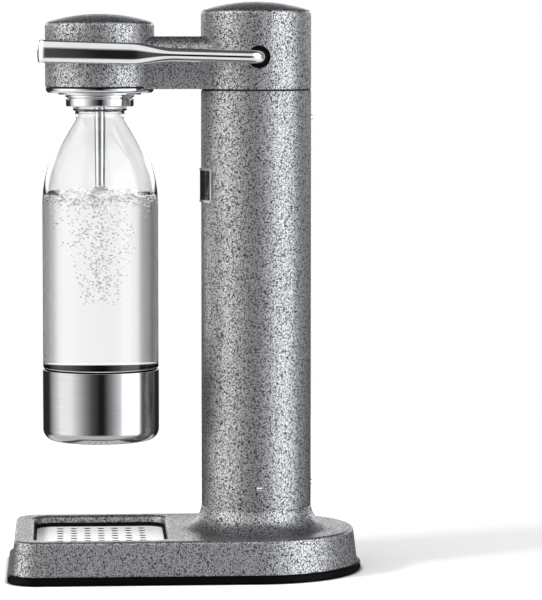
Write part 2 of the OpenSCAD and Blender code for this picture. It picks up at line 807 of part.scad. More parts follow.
module upper_housing() color([0.55, 0.57, 0.6]) difference() {
    union() {
        difference() {
            union() {
                translate([0, tower_y, 0]) rotate_extrude() drum_profile(tower_r, cap_z, cap_crown);
                difference() {
                    bridge_form(0, cap_z);
                    translate([0, head_y, cap_z - cut]) cylinder(r = head_r, h = head_up + cut);
                }
                translate([0, head_y, 0]) rotate_extrude() drum_profile(head_r, head_z, head_crown);
            }
            translate([0, tower_y, 0])
                rotate_extrude() drum_hollow(tower_r, cap_z - cut, cap_crown);
            translate([0, head_y, 0])
                rotate_extrude() drum_hollow(head_r, head_z - cut, head_crown);
            bridge_form(housing_wall + cover_t, cap_z + cover_t);
            bridge_gap(0, cap_z - cut, cap_z + cover_t + snug_gap);
        }
        posts(tower_y, post_reach, post_angles, bracket_top, post_top(cap_crown, post_reach), post_r);
        posts(head_y, head_post_reach, head_post_angles, receiver_top,
            post_top(head_crown, head_post_reach), post_r);
    }
    translate([-tower_r - cut, tower_y, pivot_z]) rotate([0, 90, 0])
        cylinder(r = bush_r + snug_gap, h = 2 * (tower_r + cut));
    for (side = [-1, 1]) translate([side * (bush_face_x - bush_flange_t), tower_y, pivot_z])
        rotate([0, side * 90, 0]) cylinder(r = bush_flange_r + snug_gap, h = tower_r);
    posts(tower_y, post_reach, post_angles, bracket_top - cut, bracket_top + screw_len + cut, tapped_r);
    posts(head_y, head_post_reach, head_post_angles, receiver_top - cut,
        receiver_top + screw_len, tapped_r);
}

module housing_screws() color([0.7, 0.7, 0.72])
    for (a = post_angles) translate([post_reach * cos(a), tower_y + post_reach * sin(a), bracket_z])
        screw();

module bridge_cover() color([0.06, 0.06, 0.06]) bridge_gap(2 * snug_gap, cap_z, cap_z + cover_t);

module lever_bushes() color([0.05, 0.05, 0.05])
    for (side = [-1, 1]) translate([0, tower_y, pivot_z]) rotate([0, side * 90, 0]) {
        translate([0, 0, bush_in_x]) ring(bush_r, bush_bore_r, bush_face_x - bush_in_x);
        translate([0, 0, bush_face_x - bush_flange_t]) ring(bush_flange_r, bush_bore_r, bush_flange_t);
    }

// Head

module head_gasket() color([0.05, 0.05, 0.05])
    translate([0, head_y, ring_top])
        ring(head_ring_r - snug_gap, head_r - housing_wall - sink, head_gasket_t);

module head_ring() color([0.8, 0.81, 0.83]) translate([0, head_y, 0]) rotate_extrude() difference() {
    union() {
        translate([0, ring_rim_z + head_ring_edge_r])
            square([head_ring_r, head_ring_h - head_ring_edge_r]);
        translate([0, ring_rim_z]) square([head_ring_r - head_ring_edge_r, head_ring_h]);
        intersection() {
            translate([head_ring_r - head_ring_edge_r, ring_rim_z + head_ring_edge_r])
                circle(r = head_ring_edge_r);
            translate([0, ring_rim_z]) square([head_ring_r, head_ring_h]);
        }
        translate([0, collar_top]) square([head_ring_step_r, head_ring_step + sink]);
    }
    translate([0, collar_top - cut]) square([receiver_r + snug_gap, ring_top - collar_top + 2 * cut]);
}

module receiver_collar() color([0.85, 0.86, 0.88]) translate([0, head_y, collar_z]) {
    band = collar_h * collar_band_share;
    groove = collar_h * collar_groove_share;
    bore = receiver_r + snug_gap;
    ring(collar_r, bore, band);
    ring(collar_r - collar_lip, bore, band + groove + sink);
    translate([0, 0, band + groove]) ring(collar_r + collar_lip, bore, collar_h - band - groove);
}

module bottle_receiver() color([0.12, 0.12, 0.12]) difference() {
    translate([0, head_y, 0]) {
        translate([0, 0, collar_z]) cylinder(r = receiver_r, h = receiver_top - collar_z);
        translate([0, 0, flange_z]) cylinder(r = receiver_flange_r, h = receiver_flange_t);
    }
    translate([0, head_y, collar_z - cut]) cylinder(r = receiver_bore_r, h = ceiling_z - collar_z + cut);
    translate([0, head_y, collar_z]) cylinder(r = spigot_r + snug_gap, h = receiver_top - collar_z + cut);
    posts(head_y, head_post_reach, head_post_angles, flange_z - cut, receiver_top + cut, screw_r + snug_gap);
    posts(head_y, head_post_reach, head_post_angles, flange_z - cut, flange_z + screw_head_h,
        screw_head_r + snug_gap);
}

module receiver_screws() color([0.7, 0.7, 0.72]) for (a = head_post_angles)
    translate([
        head_post_reach * cos(a), head_y + head_post_reach * sin(a), flange_z + screw_head_h
    ]) screw(screw_len);

module nozzle_manifold() color([0.2, 0.2, 0.21]) difference() {
    translate([0, head_y, 0]) {
        translate([0, 0, ceiling_z]) cylinder(r = spigot_r, h = manifold_top - ceiling_z);
        translate([0, 0, receiver_top]) cylinder(r = manifold_r, h = manifold_h);
    }
    translate([0, head_y, ceiling_z - cut])
        cylinder(r = nozzle_top_r + glue_gap / 2, h = receiver_ceiling + nozzle_in + cut);
    translate([0, head_y, ceiling_z + nozzle_seal_up]) cylinder(
        r = nozzle_top_r + glue_gap + 2 * nozzle_seal_r, h = 2 * nozzle_seal_r + glue_gap
    );
    translate([0, head_y, receiver_top]) cylinder(r = port_r, h = manifold_h + cut);
    translate([0, head_y, manifold_port_z]) rotate([-90, 0, 0]) {
        cylinder(r = port_r, h = manifold_r + cut);
        translate([0, 0, manifold_r - fitting_in])
            cylinder(r = fitting_r + glue_gap / 2, h = fitting_in + cut);
    }
}

module carbonation_nozzle() color([0.8, 0.81, 0.83]) translate([0, head_y, 0]) {
    low = nozzle_tip_z + nozzle_tip_h;
    top = receiver_top + nozzle_in;
    difference() {
        union() {
            translate([0, 0, low]) cylinder(r1 = nozzle_low_r, r2 = nozzle_top_r, h = nozzle_taper_h);
            translate([0, 0, low + nozzle_taper_h])
                cylinder(r = nozzle_top_r, h = top - low - nozzle_taper_h);
        }
        translate([0, 0, low - cut]) cylinder(r = nozzle_bore_r, h = top - low + 2 * cut);
    }
}

module nozzle_tip() color([0.7, 0.71, 0.73]) translate([0, head_y, nozzle_tip_z]) difference() {
    union() {
        cylinder(r = nozzle_low_r, h = nozzle_tip_h);
        cylinder(r = nozzle_bore_r - glue_gap / 2, h = 2 * nozzle_tip_h);
    }
    translate([0, 0, -cut]) cylinder(r = nozzle_bore_r / 2, h = 2 * (nozzle_tip_h + cut));
}

module nozzle_seal() color([0.05, 0.05, 0.05])
    translate([0, head_y, ceiling_z + nozzle_seal_up + nozzle_seal_r + glue_gap / 2]) rotate_extrude()
        translate([nozzle_top_r + glue_gap / 2 + nozzle_seal_r, 0]) circle(r = nozzle_seal_r);

module relief_valve() color([0.75, 0.62, 0.35]) translate([0, head_y, manifold_top]) difference() {
    cylinder(r = relief_r, h = relief_h);
    translate([0, 0, -cut]) cylinder(r = port_r, h = relief_h);
    translate([0, 0, relief_h / 4]) cylinder(r = relief_bore_r, h = relief_h);
}

module relief_spring() color([0.8, 0.8, 0.82])
    translate([0, head_y, manifold_top + relief_h / 4])
        coil(relief_bore_r - 2 * spring_wire_r, spring_wire_r, relief_h / 2, spring_turns);

module relief_cap() color([0.75, 0.62, 0.35]) translate([0, head_y, manifold_top + relief_h]) {
    cylinder(r = relief_r, h = relief_cap_h);
    translate([0, 0, -relief_h / 4]) cylinder(r = relief_bore_r - glue_gap, h = relief_h / 4 + sink);
}

// Gas train

hose_ends = [
    [0, port_y - fitting_hex_h, port_z],
    [0, head_y + manifold_r + fitting_hex_h, manifold_port_z],
];

function bezier(p, t) =
    (1 - t) ^ 3 * p[0] + 3 * t * (1 - t) ^ 2 * p[1] + 3 * t ^ 2 * (1 - t) * p[2] + t ^ 3 * p[3];

// The hose runs level out of each fitting and climbs between them
module gas_hose() color([0.1, 0.1, 0.1]) {
    lead = [0, hose_lead, 0];
    curve = [hose_ends[0], hose_ends[0] - lead, hose_ends[1] + lead, hose_ends[1]];
    rise = [0, 0, hose_r];
    side = [hose_r, 0, 0];
    skin([
        for (i = [0 : hose_rings]) [
            for (j = [0 : hose_sides - 1])
                let (a = full_turn * j / hose_sides)
                bezier(curve, i / hose_rings) + side * cos(a) + rise * sin(a)
        ]
    ]);
}

module hose_fitting(y, z, turn) translate([0, y, z]) rotate([turn, 0, 0]) difference() {
    union() {
        cylinder(r = fitting_hex_r, h = fitting_hex_h, $fn = 6);
        translate([0, 0, -fitting_in + glue_gap]) cylinder(r = fitting_r, h = fitting_in);
    }
    translate([0, 0, -fitting_in - cut]) cylinder(r = port_r, h = fitting_in + fitting_hex_h + 2 * cut);
}

module hose_fittings() color([0.75, 0.62, 0.35]) {
    hose_fitting(port_y, port_z, 90);
    hose_fitting(head_y + manifold_r, manifold_port_z, -90);
}

module valve_bracket() color([0.7, 0.7, 0.72]) difference() {
    union() {
        translate([0, tower_y, bracket_z]) cylinder(r = ring_r, h = bracket_t);
        translate([0, tower_y, bracket_z - skirt_h]) ring(ring_r, bay_r, skirt_h + sink);
    }
    translate([0, tower_y, bracket_z - cut]) cylinder(r = block_r + snug_gap, h = bracket_t + 2 * cut);
    posts(tower_y, post_reach, post_angles, bracket_z - cut, bracket_top + cut, screw_r + snug_gap);
    outward(tower_screws_at[3][0], high_screw_z) cylinder(r = tapped_r, h = tower_r);
}

module valve_block() color([0.78, 0.64, 0.36]) difference() {
    translate([0, tower_y, 0]) {
        translate([0, 0, block_z]) cylinder(r = block_r, h = block_top - block_z);
        translate([0, 0, bracket_top]) cylinder(r = block_flange_r, h = block_flange_h);
    }
    translate([0, tower_y, 0]) {
        translate([0, 0, block_z - cut])
            cylinder(r = valve_thread_r + move_gap, h = chamber_z - block_z + cut);
        translate([0, 0, chamber_z - cut]) cylinder(r = chamber_r, h = chamber_h + cut);
        translate([0, 0, chamber_z]) cylinder(r = stem_r + run_gap, h = block_top - chamber_z + cut);
        translate([0, 0, block_top - spring_seat_deep])
            cylinder(r = spring_seat_r, h = spring_seat_deep + cut);
    }
    low_port_z = chamber_z + chamber_h / 2;
    translate([0, tower_y, low_port_z]) rotate([90, 0, 0]) cylinder(r = port_r, h = tower_y - drill_y);
    translate([0, drill_y, low_port_z - port_r]) cylinder(r = port_r, h = port_z + 2 * port_r - low_port_z);
    translate([0, drill_y, port_z]) rotate([90, 0, 0]) cylinder(r = port_r, h = drill_y - port_y + cut);
    translate([0, port_y + fitting_in, port_z]) rotate([90, 0, 0])
        cylinder(r = fitting_r + glue_gap / 2, h = fitting_in + cut);
}

module valve_nut() color([0.78, 0.64, 0.36]) translate([0, tower_y, bracket_z - nut_h]) difference() {
    cylinder(r = nut_r, h = nut_h, $fn = 6);
    translate([0, 0, -cut]) cylinder(r = block_r + glue_gap / 2, h = nut_h + 2 * cut);
}

module valve_plunger() color([0.8, 0.81, 0.83]) translate([0, tower_y, 0]) {
    translate([0, 0, plunger_low]) cylinder(r = plunger_r, h = plunger_t);
    translate([0, 0, pin_top + move_gap]) cylinder(r = stem_r, h = plunger_top - pin_top - move_gap - sink);
}

module plunger_spring() color([0.8, 0.8, 0.82]) translate([0, tower_y, block_top - spring_seat_deep])
    coil(spring_r, spring_wire_r, plunger_low - block_top + spring_seat_deep, spring_turns);

// Half the section of the gas cylinder, drawn in by a wall
module gas_profile(in) {
    r = gas_r - in;
    foot = gas_foot_r - in;
    shoulder = gas_shoulder_r - in;
    low = gas_z + in;
    top = gas_shoulder - in;
    translate([0, low + foot]) square([r, top - shoulder - low - foot]);
    translate([0, low]) square([r - foot, top - low - shoulder]);
    translate([0, low + foot]) square([r - shoulder, top - low - foot]);
    intersection() {
        translate([0, low]) square([r, top - low]);
        union() {
            translate([r - foot, low + foot]) circle(r = foot);
            translate([r - shoulder, top - shoulder]) circle(r = shoulder);
        }
    }
}

module gas_cylinder() color([0.75, 0.76, 0.78]) translate([0, tower_y, 0]) difference() {
    union() {
        rotate_extrude() gas_profile(0);
        translate([0, 0, gas_shoulder - neck_in_h]) cylinder(r = neck_out_r, h = neck_in_h);
    }
    rotate_extrude() gas_profile(gas_wall);
    translate([0, 0, gas_shoulder - neck_in_h]) cylinder(r = neck_bore_r, h = neck_in_h + cut);
}

module cylinder_valve() color([0.78, 0.64, 0.36]) translate([0, tower_y, 0]) difference() {
    union() {
        translate([0, 0, gas_shoulder - neck_in_h])
            cylinder(r = neck_bore_r - glue_gap / 2, h = neck_in_h + sink);
        translate([0, 0, gas_shoulder]) cylinder(r = valve_hex_r, h = valve_hex_h, $fn = 6);
        translate([0, 0, gas_shoulder + sink]) cylinder(r = valve_thread_r, h = valve_h - sink);
    }
    translate([0, 0, gas_shoulder - neck_in_h - cut])
        cylinder(r = pin_r + run_gap, h = valve_h + neck_in_h + 2 * cut);
}

module valve_pin() color([0.8, 0.81, 0.83])
    translate([0, tower_y, gas_valve_top - pin_in]) cylinder(r = pin_r, h = pin_in + pin_out);

module cylinder_seal() color([0.05, 0.05, 0.05])
    translate([0, tower_y, washer_z]) ring(washer_r, washer_hole_r, washer_h);

// Bottle

module neck_seal() color([0.1, 0.1, 0.1]) translate([0, head_y, seal_z])
    ring(receiver_bore_r - move_gap, nozzle_top_r + 2 * move_gap, neck_seal_h);

// Points up the shoulder's curve, drawn in by a wall
function shoulder_points(in) = let (
    low = [bottle_r - in, shoulder_z],
    rise = [0, shoulder_h],
    high = [neck_r - in, neck_z],
    swell = [
        mix(neck_r, bottle_r, shoulder_shares[1]) - in,
        shoulder_z + shoulder_h * shoulder_shares[2]
    ]
) [
    for (i = [0 : shoulder_steps])
        bezier([low, low + rise * shoulder_shares[0], swell, high], i / shoulder_steps)
];

function mix(a, b, t) = a + (b - a) * t;

// Half the section of a round tub with a rounded lower corner
module tub_profile(r, z_low, z_high, corner) {
    translate([0, z_low + corner]) square([r, z_high - z_low - corner]);
    translate([0, z_low]) square([r - corner, z_high - z_low]);
    translate([r - corner, z_low + corner]) circle(r = corner);
}

// Half the section of the clear bottle, drawn in by a wall
module bottle_profile(in, top) {
    step = cup_top + bottle_wall / 2 + in;
    polygon(concat(
        [[0, step], [bottle_r - in, step]],
        shoulder_points(in),
        [[neck_r - in, top], [0, top]]
    ));
    tub_profile(foot_r_in - in, pet_z + in, step + sink, pet_corner_r - in);
}

module bottle_body() color([0.85, 0.9, 0.93, 0.3]) translate([0, head_y, 0]) rotate_extrude() difference() {
    union() {
        bottle_profile(0, ledge_z + ledge_t);
        translate([0, ledge_z]) square([ledge_r, ledge_t]);
        translate([0, ledge_z]) square([finish_r, bottle_top - ledge_z]);
        for (share = ridge_shares) translate([0, ledge_z + ledge_t + finish_h * share])
            square([finish_r + ridge_out, ridge_h]);
    }
    bottle_profile(bottle_wall, bottle_top + cut);
}

module bottle_cup() color([0.75, 0.76, 0.78]) translate([0, head_y, 0]) rotate_extrude() difference() {
    tub_profile(cup_r, cup_z, cup_top, cup_corner_r);
    tub_profile(cup_r - cup_wall, cup_z + cup_floor, cup_top + cut, cup_corner_r - cup_wall);
}

module cup_liner() color([0.05, 0.05, 0.05]) translate([0, head_y, 0]) {
    out_r = cup_r - cup_wall - glue_gap;
    low = cup_z + cup_floor;
    corner = cup_corner_r - cup_wall;
    rotate_extrude() difference() {
        tub_profile(out_r, low, cup_top - cup_wall, corner);
        tub_profile(out_r - liner_t, low + liner_floor, cup_top + cut, corner - liner_t);
    }
}

module bottle_water() color([0.8, 0.88, 0.92, 0.4]) translate([0, head_y, 0])
    rotate_extrude() intersection() {
        bottle_profile(bottle_wall + glue_gap, bottle_top);
        translate([0, cup_z]) square([bottle_r, water_z - cup_z]);
    }

// Lever

// Turns its children about the pivot, with the origin on it
module at_pivot(angle = 0) translate([0, tower_y, pivot_z]) rotate([angle, 0, 0]) children();

function smooth(t) = let (u = min(1, max(0, t))) u * u * (3 - 2 * u);

// A station on the bent rod: place, direction, width, height and squareness of its section
function station(x, y, dx, dy, flat, h, weld = 0, t = arm_t) = [
    x, y, dx, dy,
    mix(rod_r, t / 2, flat) - weld, mix(rod_r, h / 2, flat) - weld, mix(2, band_power, flat),
];

function band_at(y) = mix(band_h, bar_h, (y - flat_to) / (lever_len - flat_to));

// One side of the lever, from its journal to the middle of the front bar
function half_lever() = let (
    bend_r = arm_x - bend_x,
    corner_y = lever_len - lever_corner_r,
    corner_x = arm_x - lever_corner_r
) concat(
    [station(bend_x - rod_r / 3, 0, 1, 0, 0, band_h, weld_in)],
    [
        for (i = [1 : bend_steps])
            let (a = full_turn / 4 * i / bend_steps)
            station(bend_x + bend_r * sin(a), bend_r * (cos(a) - 1), cos(a), -sin(a), 0, band_h)
    ],
    [
        for (i = [0 : flat_steps])
            let (y = mix(flat_from, flat_to, i / flat_steps))
            station(arm_x, -y, 0, -1, smooth(i / flat_steps), band_h)
    ],
    [
        for (i = [0 : corner_steps])
            let (a = full_turn / 4 * i / corner_steps)
            station(
                corner_x + lever_corner_r * cos(a), -corner_y - lever_corner_r * sin(a),
                -sin(a), -cos(a), 1, band_at(corner_y), t = mix(arm_t, band_t, i / corner_steps)
            )
    ]
);

// The same stations mirrored and walked back to the other journal
function other_half(s) = [
    for (i = [len(s) - 1 : -1 : 0])
        let (p = s[i])
        [-p[0], p[1], p[2], -p[3], p[4], p[5], p[6]]
];

function lever_ring(p) = [
    for (j = [0 : lever_sides - 1])
        let (
            a = full_turn * j / lever_sides,
            c = cos(a), s = sin(a),
            u = p[4] * sign(c) * abs(c) ^ (2 / p[6]),
            v = p[5] * sign(s) * abs(s) ^ (2 / p[6])
        )
        [p[0] - p[3] * u, p[1] + p[2] * u, v]
];

module lever() color([0.85, 0.86, 0.88]) {
    half = half_lever();
    at_pivot(-arm_slope) skin([for (p = concat(half, other_half(half))) lever_ring(p)]);
    for (side = [-1, 1]) at_pivot() rotate([0, side * 90, 0]) translate([0, 0, socket_x])
        cylinder(r = rod_r, h = journal_len);
}

module lever_shaft() color([0.7, 0.71, 0.73]) difference() {
    at_pivot() rotate([0, 90, 0]) translate([0, 0, -shaft_half]) cylinder(r = shaft_r, h = 2 * shaft_half);
    for (side = [-1, 1]) {
        at_pivot() rotate([0, side * 90, 0]) translate([0, 0, socket_x])
            cylinder(r = rod_r + glue_gap / 2, h = journal_len);
        at_pivot() translate([side * (socket_x + shaft_half) / 2, 0, 0])
            cylinder(r = tapped_r, h = shaft_r + cut);
    }
}

module lever_cam() color([0.65, 0.66, 0.68]) difference() {
    at_pivot() rotate([0, 90, 0]) translate([0, 0, -cam_w / 2]) {
        cylinder(r = shaft_r + cam_wall, h = cam_w);
        translate([0, -lobe_throw, 0]) cylinder(r = lobe_r, h = cam_w);
    }
    at_pivot() rotate([0, 90, 0]) translate([0, 0, -cam_w / 2 - cut])
        cylinder(r = shaft_r + glue_gap / 2, h = cam_w + 2 * cut);
}

module lever_set_screws() color([0.15, 0.15, 0.15]) for (side = [-1, 1])
    at_pivot() translate([side * (socket_x + shaft_half) / 2, 0, rod_r + glue_gap])
        cylinder(r = screw_r, h = grub_len);

base_shell();
base_plinth();
foot_pads();
plinth_screws();
drip_tray();
drip_grille();
tower_tube();
tower_spigot();
tower_screws();
seam_gasket();
badge_frame();
badge_insert();
cylinder_guide_lower();
cylinder_guide_upper();
valve_bracket();
upper_housing();
housing_screws();
bridge_cover();
head_gasket();
head_ring();
bottle_receiver();
receiver_collar();
receiver_screws();
nozzle_manifold();
carbonation_nozzle();
nozzle_tip();
nozzle_seal();
relief_valve();
relief_spring();
relief_cap();
gas_hose();
hose_fittings();
valve_block();
valve_nut();
valve_plunger();
plunger_spring();
lever_bushes();
lever();
lever_shaft();
lever_cam();
lever_set_screws();
gas_cylinder();
cylinder_valve();
valve_pin();
cylinder_seal();
neck_seal();
bottle_body();
bottle_cup();
cup_liner();
bottle_water();
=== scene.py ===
import json
import math
from random import Random

import bmesh
import bpy
from mathutils import Matrix, Vector


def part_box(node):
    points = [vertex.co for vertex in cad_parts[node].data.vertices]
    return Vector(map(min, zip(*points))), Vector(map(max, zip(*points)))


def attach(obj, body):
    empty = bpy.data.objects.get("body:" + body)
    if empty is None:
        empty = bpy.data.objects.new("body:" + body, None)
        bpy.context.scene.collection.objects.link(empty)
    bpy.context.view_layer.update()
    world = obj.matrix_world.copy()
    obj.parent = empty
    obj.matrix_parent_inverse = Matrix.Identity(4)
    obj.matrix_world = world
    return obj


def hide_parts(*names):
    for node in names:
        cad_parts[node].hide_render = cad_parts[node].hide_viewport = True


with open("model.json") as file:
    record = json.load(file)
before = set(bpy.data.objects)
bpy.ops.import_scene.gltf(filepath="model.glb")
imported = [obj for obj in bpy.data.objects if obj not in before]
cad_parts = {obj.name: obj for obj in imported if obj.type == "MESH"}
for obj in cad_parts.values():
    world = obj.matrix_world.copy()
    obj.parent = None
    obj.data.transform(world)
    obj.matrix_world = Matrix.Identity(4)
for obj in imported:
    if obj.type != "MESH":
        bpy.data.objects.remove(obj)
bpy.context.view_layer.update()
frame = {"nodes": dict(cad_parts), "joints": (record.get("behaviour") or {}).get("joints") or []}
nodes = frame["nodes"]

# Camera
# A long lens 2.4 m from the machine's right side, level with its head, turned a little
# towards the front, and looking slightly down.
plinth_low, plinth_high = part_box("base_plinth")
base_half = plinth_high[0]
tower_y = plinth_high[1] - base_half
camera_away = 2.367
camera_aside = 0.0109
camera_height = 0.386
camera_turn = math.radians(86.42)
camera_pitch = math.radians(4.56)
look = Vector((-math.sin(camera_turn), math.cos(camera_turn), 0))
right = Vector((look.y, -look.x, 0))
lens = bpy.data.cameras.new("camera")
lens.lens = 195.06
lens.sensor_width = 36
lens.clip_end = 30
camera = bpy.data.objects.new("camera", lens)
camera.location = Vector((0, tower_y, camera_height)) - camera_away * look + camera_aside * right
camera.rotation_euler = (math.pi / 2 - camera_pitch, 0, camera_turn)
bpy.context.scene.collection.objects.link(camera)
bpy.context.scene.camera = camera


# Studio
# A white sweep behind the machine, a round paper floor under it, and what its bright metal
# mirrors: a tall softbox on either side of the camera, a pale ceiling between them, a pale
# floor, and darkness overhead and behind, but for the bright strip of the sweep.
class Link:
    """A socket of a shader: sums and products are written on it, and add their Math nodes."""

    def __init__(self, socket):
        self.socket = socket

    def add(self, kind, settings, inputs, out=0):
        """Another node in the same tree: its settings go in first, then its inputs."""
        tree = self.socket.id_data
        made = tree.nodes.new(kind)
        for name, value in settings.items():
            if name == "stops":
                stops = made.color_ramp.elements
                for place, level in value[2:]:
                    stops.new(place)
                for stop, (place, level) in zip(stops, value):
                    stop.position, stop.color = place, (level, level, level, 1)
            else:
                setattr(made, name, value)
        for name, value in inputs.items():
            if isinstance(value, Link):
                tree.links.new(value.socket, made.inputs[name])
            else:
                made.inputs[name].default_value = value
        return Link(made.outputs[out])

    def math(self, operation, first, second=0.0):
        """One Math node on values or links."""
        return self.add("ShaderNodeMath", {"operation": operation}, {0: first, 1: second})

    def __add__(self, other):
        return self.math("ADD", self, other)

    def __sub__(self, other):
        return self.math("SUBTRACT", self, other)

    def __rsub__(self, other):
        return self.math("SUBTRACT", other, self)

    def __mul__(self, other):
        return self.math("MULTIPLY", self, other)

    def __truediv__(self, other):
        return self.math("DIVIDE", self, other)

    def __abs__(self):
        return self.math("ABSOLUTE", self)

    __radd__ = __add__
    __rmul__ = __mul__

    def rise(self, low, high):
        """0 below low, 1 above high, and a smooth slope between them."""
        span = {"Value": self, "From Min": low, "From Max": high}
        return self.add("ShaderNodeMapRange", {"interpolation_type": "SMOOTHSTEP"}, span)

    def blend(self, first, second):
        """The first colour where this is 0, the second where it is 1."""
        colours = {0: self, 6: first, 7: second}
        return self.add("ShaderNodeMix", {"data_type": "RGBA"}, colours, 2)


scene = bpy.context.scene
scene.view_settings.view_transform = "Standard"
world = bpy.data.worlds.new("studio")
scene.world = world
world.use_nodes = True
sky_nodes = world.node_tree.nodes
white = sky_nodes["Background"]
mirrored = sky_nodes.new("ShaderNodeBackground")
direction = Link(sky_nodes.new("ShaderNodeTexCoord").outputs["Generated"])
split = {name: direction.add("ShaderNodeSeparateXYZ", {}, {0: direction}, name) for name in "XYZ"}
# Angles in degrees: round the machine from the camera to its right, and above the horizon
studio_turn = 3.6
around = direction.math("ARCTAN2", split["Y"], split["X"]) * math.degrees(1) + studio_turn
above = direction.math("ARCSINE", split["Z"]) * math.degrees(1)
full_level = 2.6


def levels(stops):
    """Brightness round the machine, from a list of angles and levels."""
    places = [((angle + 180) / 360, level / full_level) for angle, level in stops]
    ring = around.add("ShaderNodeValToRGB", {"stops": places}, {0: (around + 180) / 360})
    return ring * full_level


eye_level = levels([
    (-180, 0.03), (-122, 0.04), (-112, 0.5), (-98, 1.1), (-84, 1.75), (-60, 1.7), (-46, 1.1),
    (-30, 0.5), (-16, 0.15), (-3, 0.05), (0, 0.015), (9, 0.015), (13, 0.12), (24, 0.45), (36, 1.0),
    (42, 1.3), (47, 2.5), (85, 2.5), (88, 0.34), (125, 0.3), (129, 0.5), (134, 0.03), (180, 0.03),
])
high_up = levels([
    (-180, 0.06), (-125, 0.08), (-112, 0.6), (-92, 2.0), (-46, 2.0), (-30, 0.95), (24, 0.95),
    (34, 2.3), (84, 2.3), (94, 0.35), (125, 0.08), (180, 0.06),
])
overhead = 0.1
floor_level = 0.95
under_dark = 0.85
back_level = 2.1
warm_white, cool_white = (1.0, 0.995, 0.98, 1), (0.962, 0.975, 1.0, 1)
low_sky = above.rise(7, 17)
radiance = eye_level * (1 - low_sky) + high_up * low_sky
top_of_sky = above.rise(46, 62)
radiance = radiance * (1 - top_of_sky) + overhead * top_of_sky
# The floor is pale, and dark straight below, where the machine stands on it
ground = 1 - above.rise(-28, -18)
under_machine = 1 - above.rise(-74, -54)
radiance = radiance * (1 - ground) + floor_level * ground * (1 - under_dark * under_machine)
# Behind the machine the white sweep ends a little above the horizon
sweep = abs(around).rise(126, 134) * above.rise(0.5, 2.5) * (1 - above.rise(14, 19))
radiance = radiance * (1 - sweep) + back_level * sweep
tint = around.rise(-10, 20).blend(warm_white, cool_white)
world.node_tree.links.new(tint.socket, mirrored.inputs["Color"])
world.node_tree.links.new(radiance.socket, mirrored.inputs["Strength"])
# What is seen through the bottle: the white sweep, with the dark gaps beside it
seen_fade = 0.85
from_axis = 90 - abs(90 - abs(around))
seen_through = from_axis.add("ShaderNodeValToRGB", {"stops": [
    (0, 1.0), (0.2, 0.93), (0.25, 0.82), (0.33, 0.38), (0.48, 0.08), (0.58, 0.1), (0.75, 0.12),
    (0.95, 0.4),
]}, {0: from_axis / 90})
seen_through = seen_through * (1 - seen_fade * abs(above).rise(16, 46))
# A ray that came through the bottle sees the sweep, unless metal had mirrored it before
ray = sky_nodes.new("ShaderNodeLightPath").outputs
camera_ray, mirrored_once = Link(ray["Is Camera Ray"]), Link(ray["Glossy Depth"])
through_ray = Link(ray["Is Transmission Ray"]) * (1 - mirrored_once.rise(0, 1))
white_level = camera_ray + seen_through * (1 - camera_ray)
world.node_tree.links.new(white_level.socket, white.inputs["Strength"])
white.inputs["Color"].default_value = (1, 1, 1, 1)
chosen = direction.add(
    "ShaderNodeMixShader", {},
    {0: direction.math("MAXIMUM", camera_ray, through_ray),
     1: Link(mirrored.outputs[0]), 2: Link(white.outputs[0])},
)
world.node_tree.links.new(chosen.socket, sky_nodes["World Output"].inputs["Surface"])

floor_r, floor_fade_r = 1.15, 0.75
paper_white, paper_glow = 0.9, 0.12
floor_mesh = bmesh.new()
bmesh.ops.create_circle(floor_mesh, cap_ends=True, radius=floor_r, segments=96)
floor_data = bpy.data.meshes.new("floor")
floor_mesh.to_mesh(floor_data)
floor = bpy.data.objects.new("floor", floor_data)
scene.collection.objects.link(floor)
paper = bpy.data.materials.new("paper")
paper.use_nodes = True
paper_nodes = paper.node_tree.nodes
paper_shader = paper_nodes["Principled BSDF"]
paper_shader.inputs["Roughness"].default_value = 0.9
paper_shader.inputs["Specular IOR Level"].default_value = 0.1
paper_shader.inputs["Emission Color"].default_value = (1, 1, 1, 1)
spot = Link(paper_nodes.new("ShaderNodeTexCoord").outputs["Object"])
across, along = (spot.add("ShaderNodeSeparateXYZ", {}, {0: spot}, name) for name in "XY")
# Under the machine the paper is painted black as a contact shadow: the plinth's outline, with its
# round front corners
shade_from, shade_to = -0.002, 0.004
beyond_tower = (along - tower_y).math("MAXIMUM", along - tower_y, 0)
beside = spot.math("SQRT", across * across + beyond_tower * beyond_tower) - base_half
front_corner_r = 0.022
past_side = spot.math("MAXIMUM", abs(across) - (base_half - front_corner_r), 0)
past_front = spot.math("MAXIMUM", plinth_low[1] + front_corner_r - along, 0)
past_corner = spot.math("SQRT", past_side * past_side + past_front * past_front) - front_corner_r
unshadowed_floor = spot.math("MAXIMUM", beside, past_corner).rise(shade_from, shade_to)
# The painted contact shadow takes out both the paper's colour and its glow
for name, level in (("Base Color", paper_white), ("Emission Strength", paper_glow)):
    paper.node_tree.links.new((unshadowed_floor * level).socket, paper_shader.inputs[name])
reach = spot.add("ShaderNodeVectorMath", {"operation": "LENGTH"}, {0: spot}, "Value")
clear = Link(paper_nodes.new("ShaderNodeBsdfTransparent").outputs[0])
faded = spot.add(
    "ShaderNodeMixShader", {},
    {0: reach.rise(floor_fade_r, floor_r), 1: Link(paper_shader.outputs[0]), 2: clear},
)
paper.node_tree.links.new(faded.socket, paper_nodes["Material Output"].inputs["Surface"])
floor_data.materials.append(paper)
floor.visible_glossy = False


def soft_light(name, place, aim, width, height, watts):
    """A soft rectangular lamp that bright metal doesn't mirror."""
    lamp = bpy.data.lights.new(name, "AREA")
    lamp.shape, lamp.size, lamp.size_y, lamp.energy = "RECTANGLE", width, height, watts
    held = bpy.data.objects.new(name, lamp)
    held.location = place
    held.rotation_euler = (Vector(aim) - Vector(place)).to_track_quat("-Z", "Y").to_euler()
    held.visible_glossy = False
    held.visible_transmission = False
    held.visible_camera = False
    scene.collection.objects.link(held)


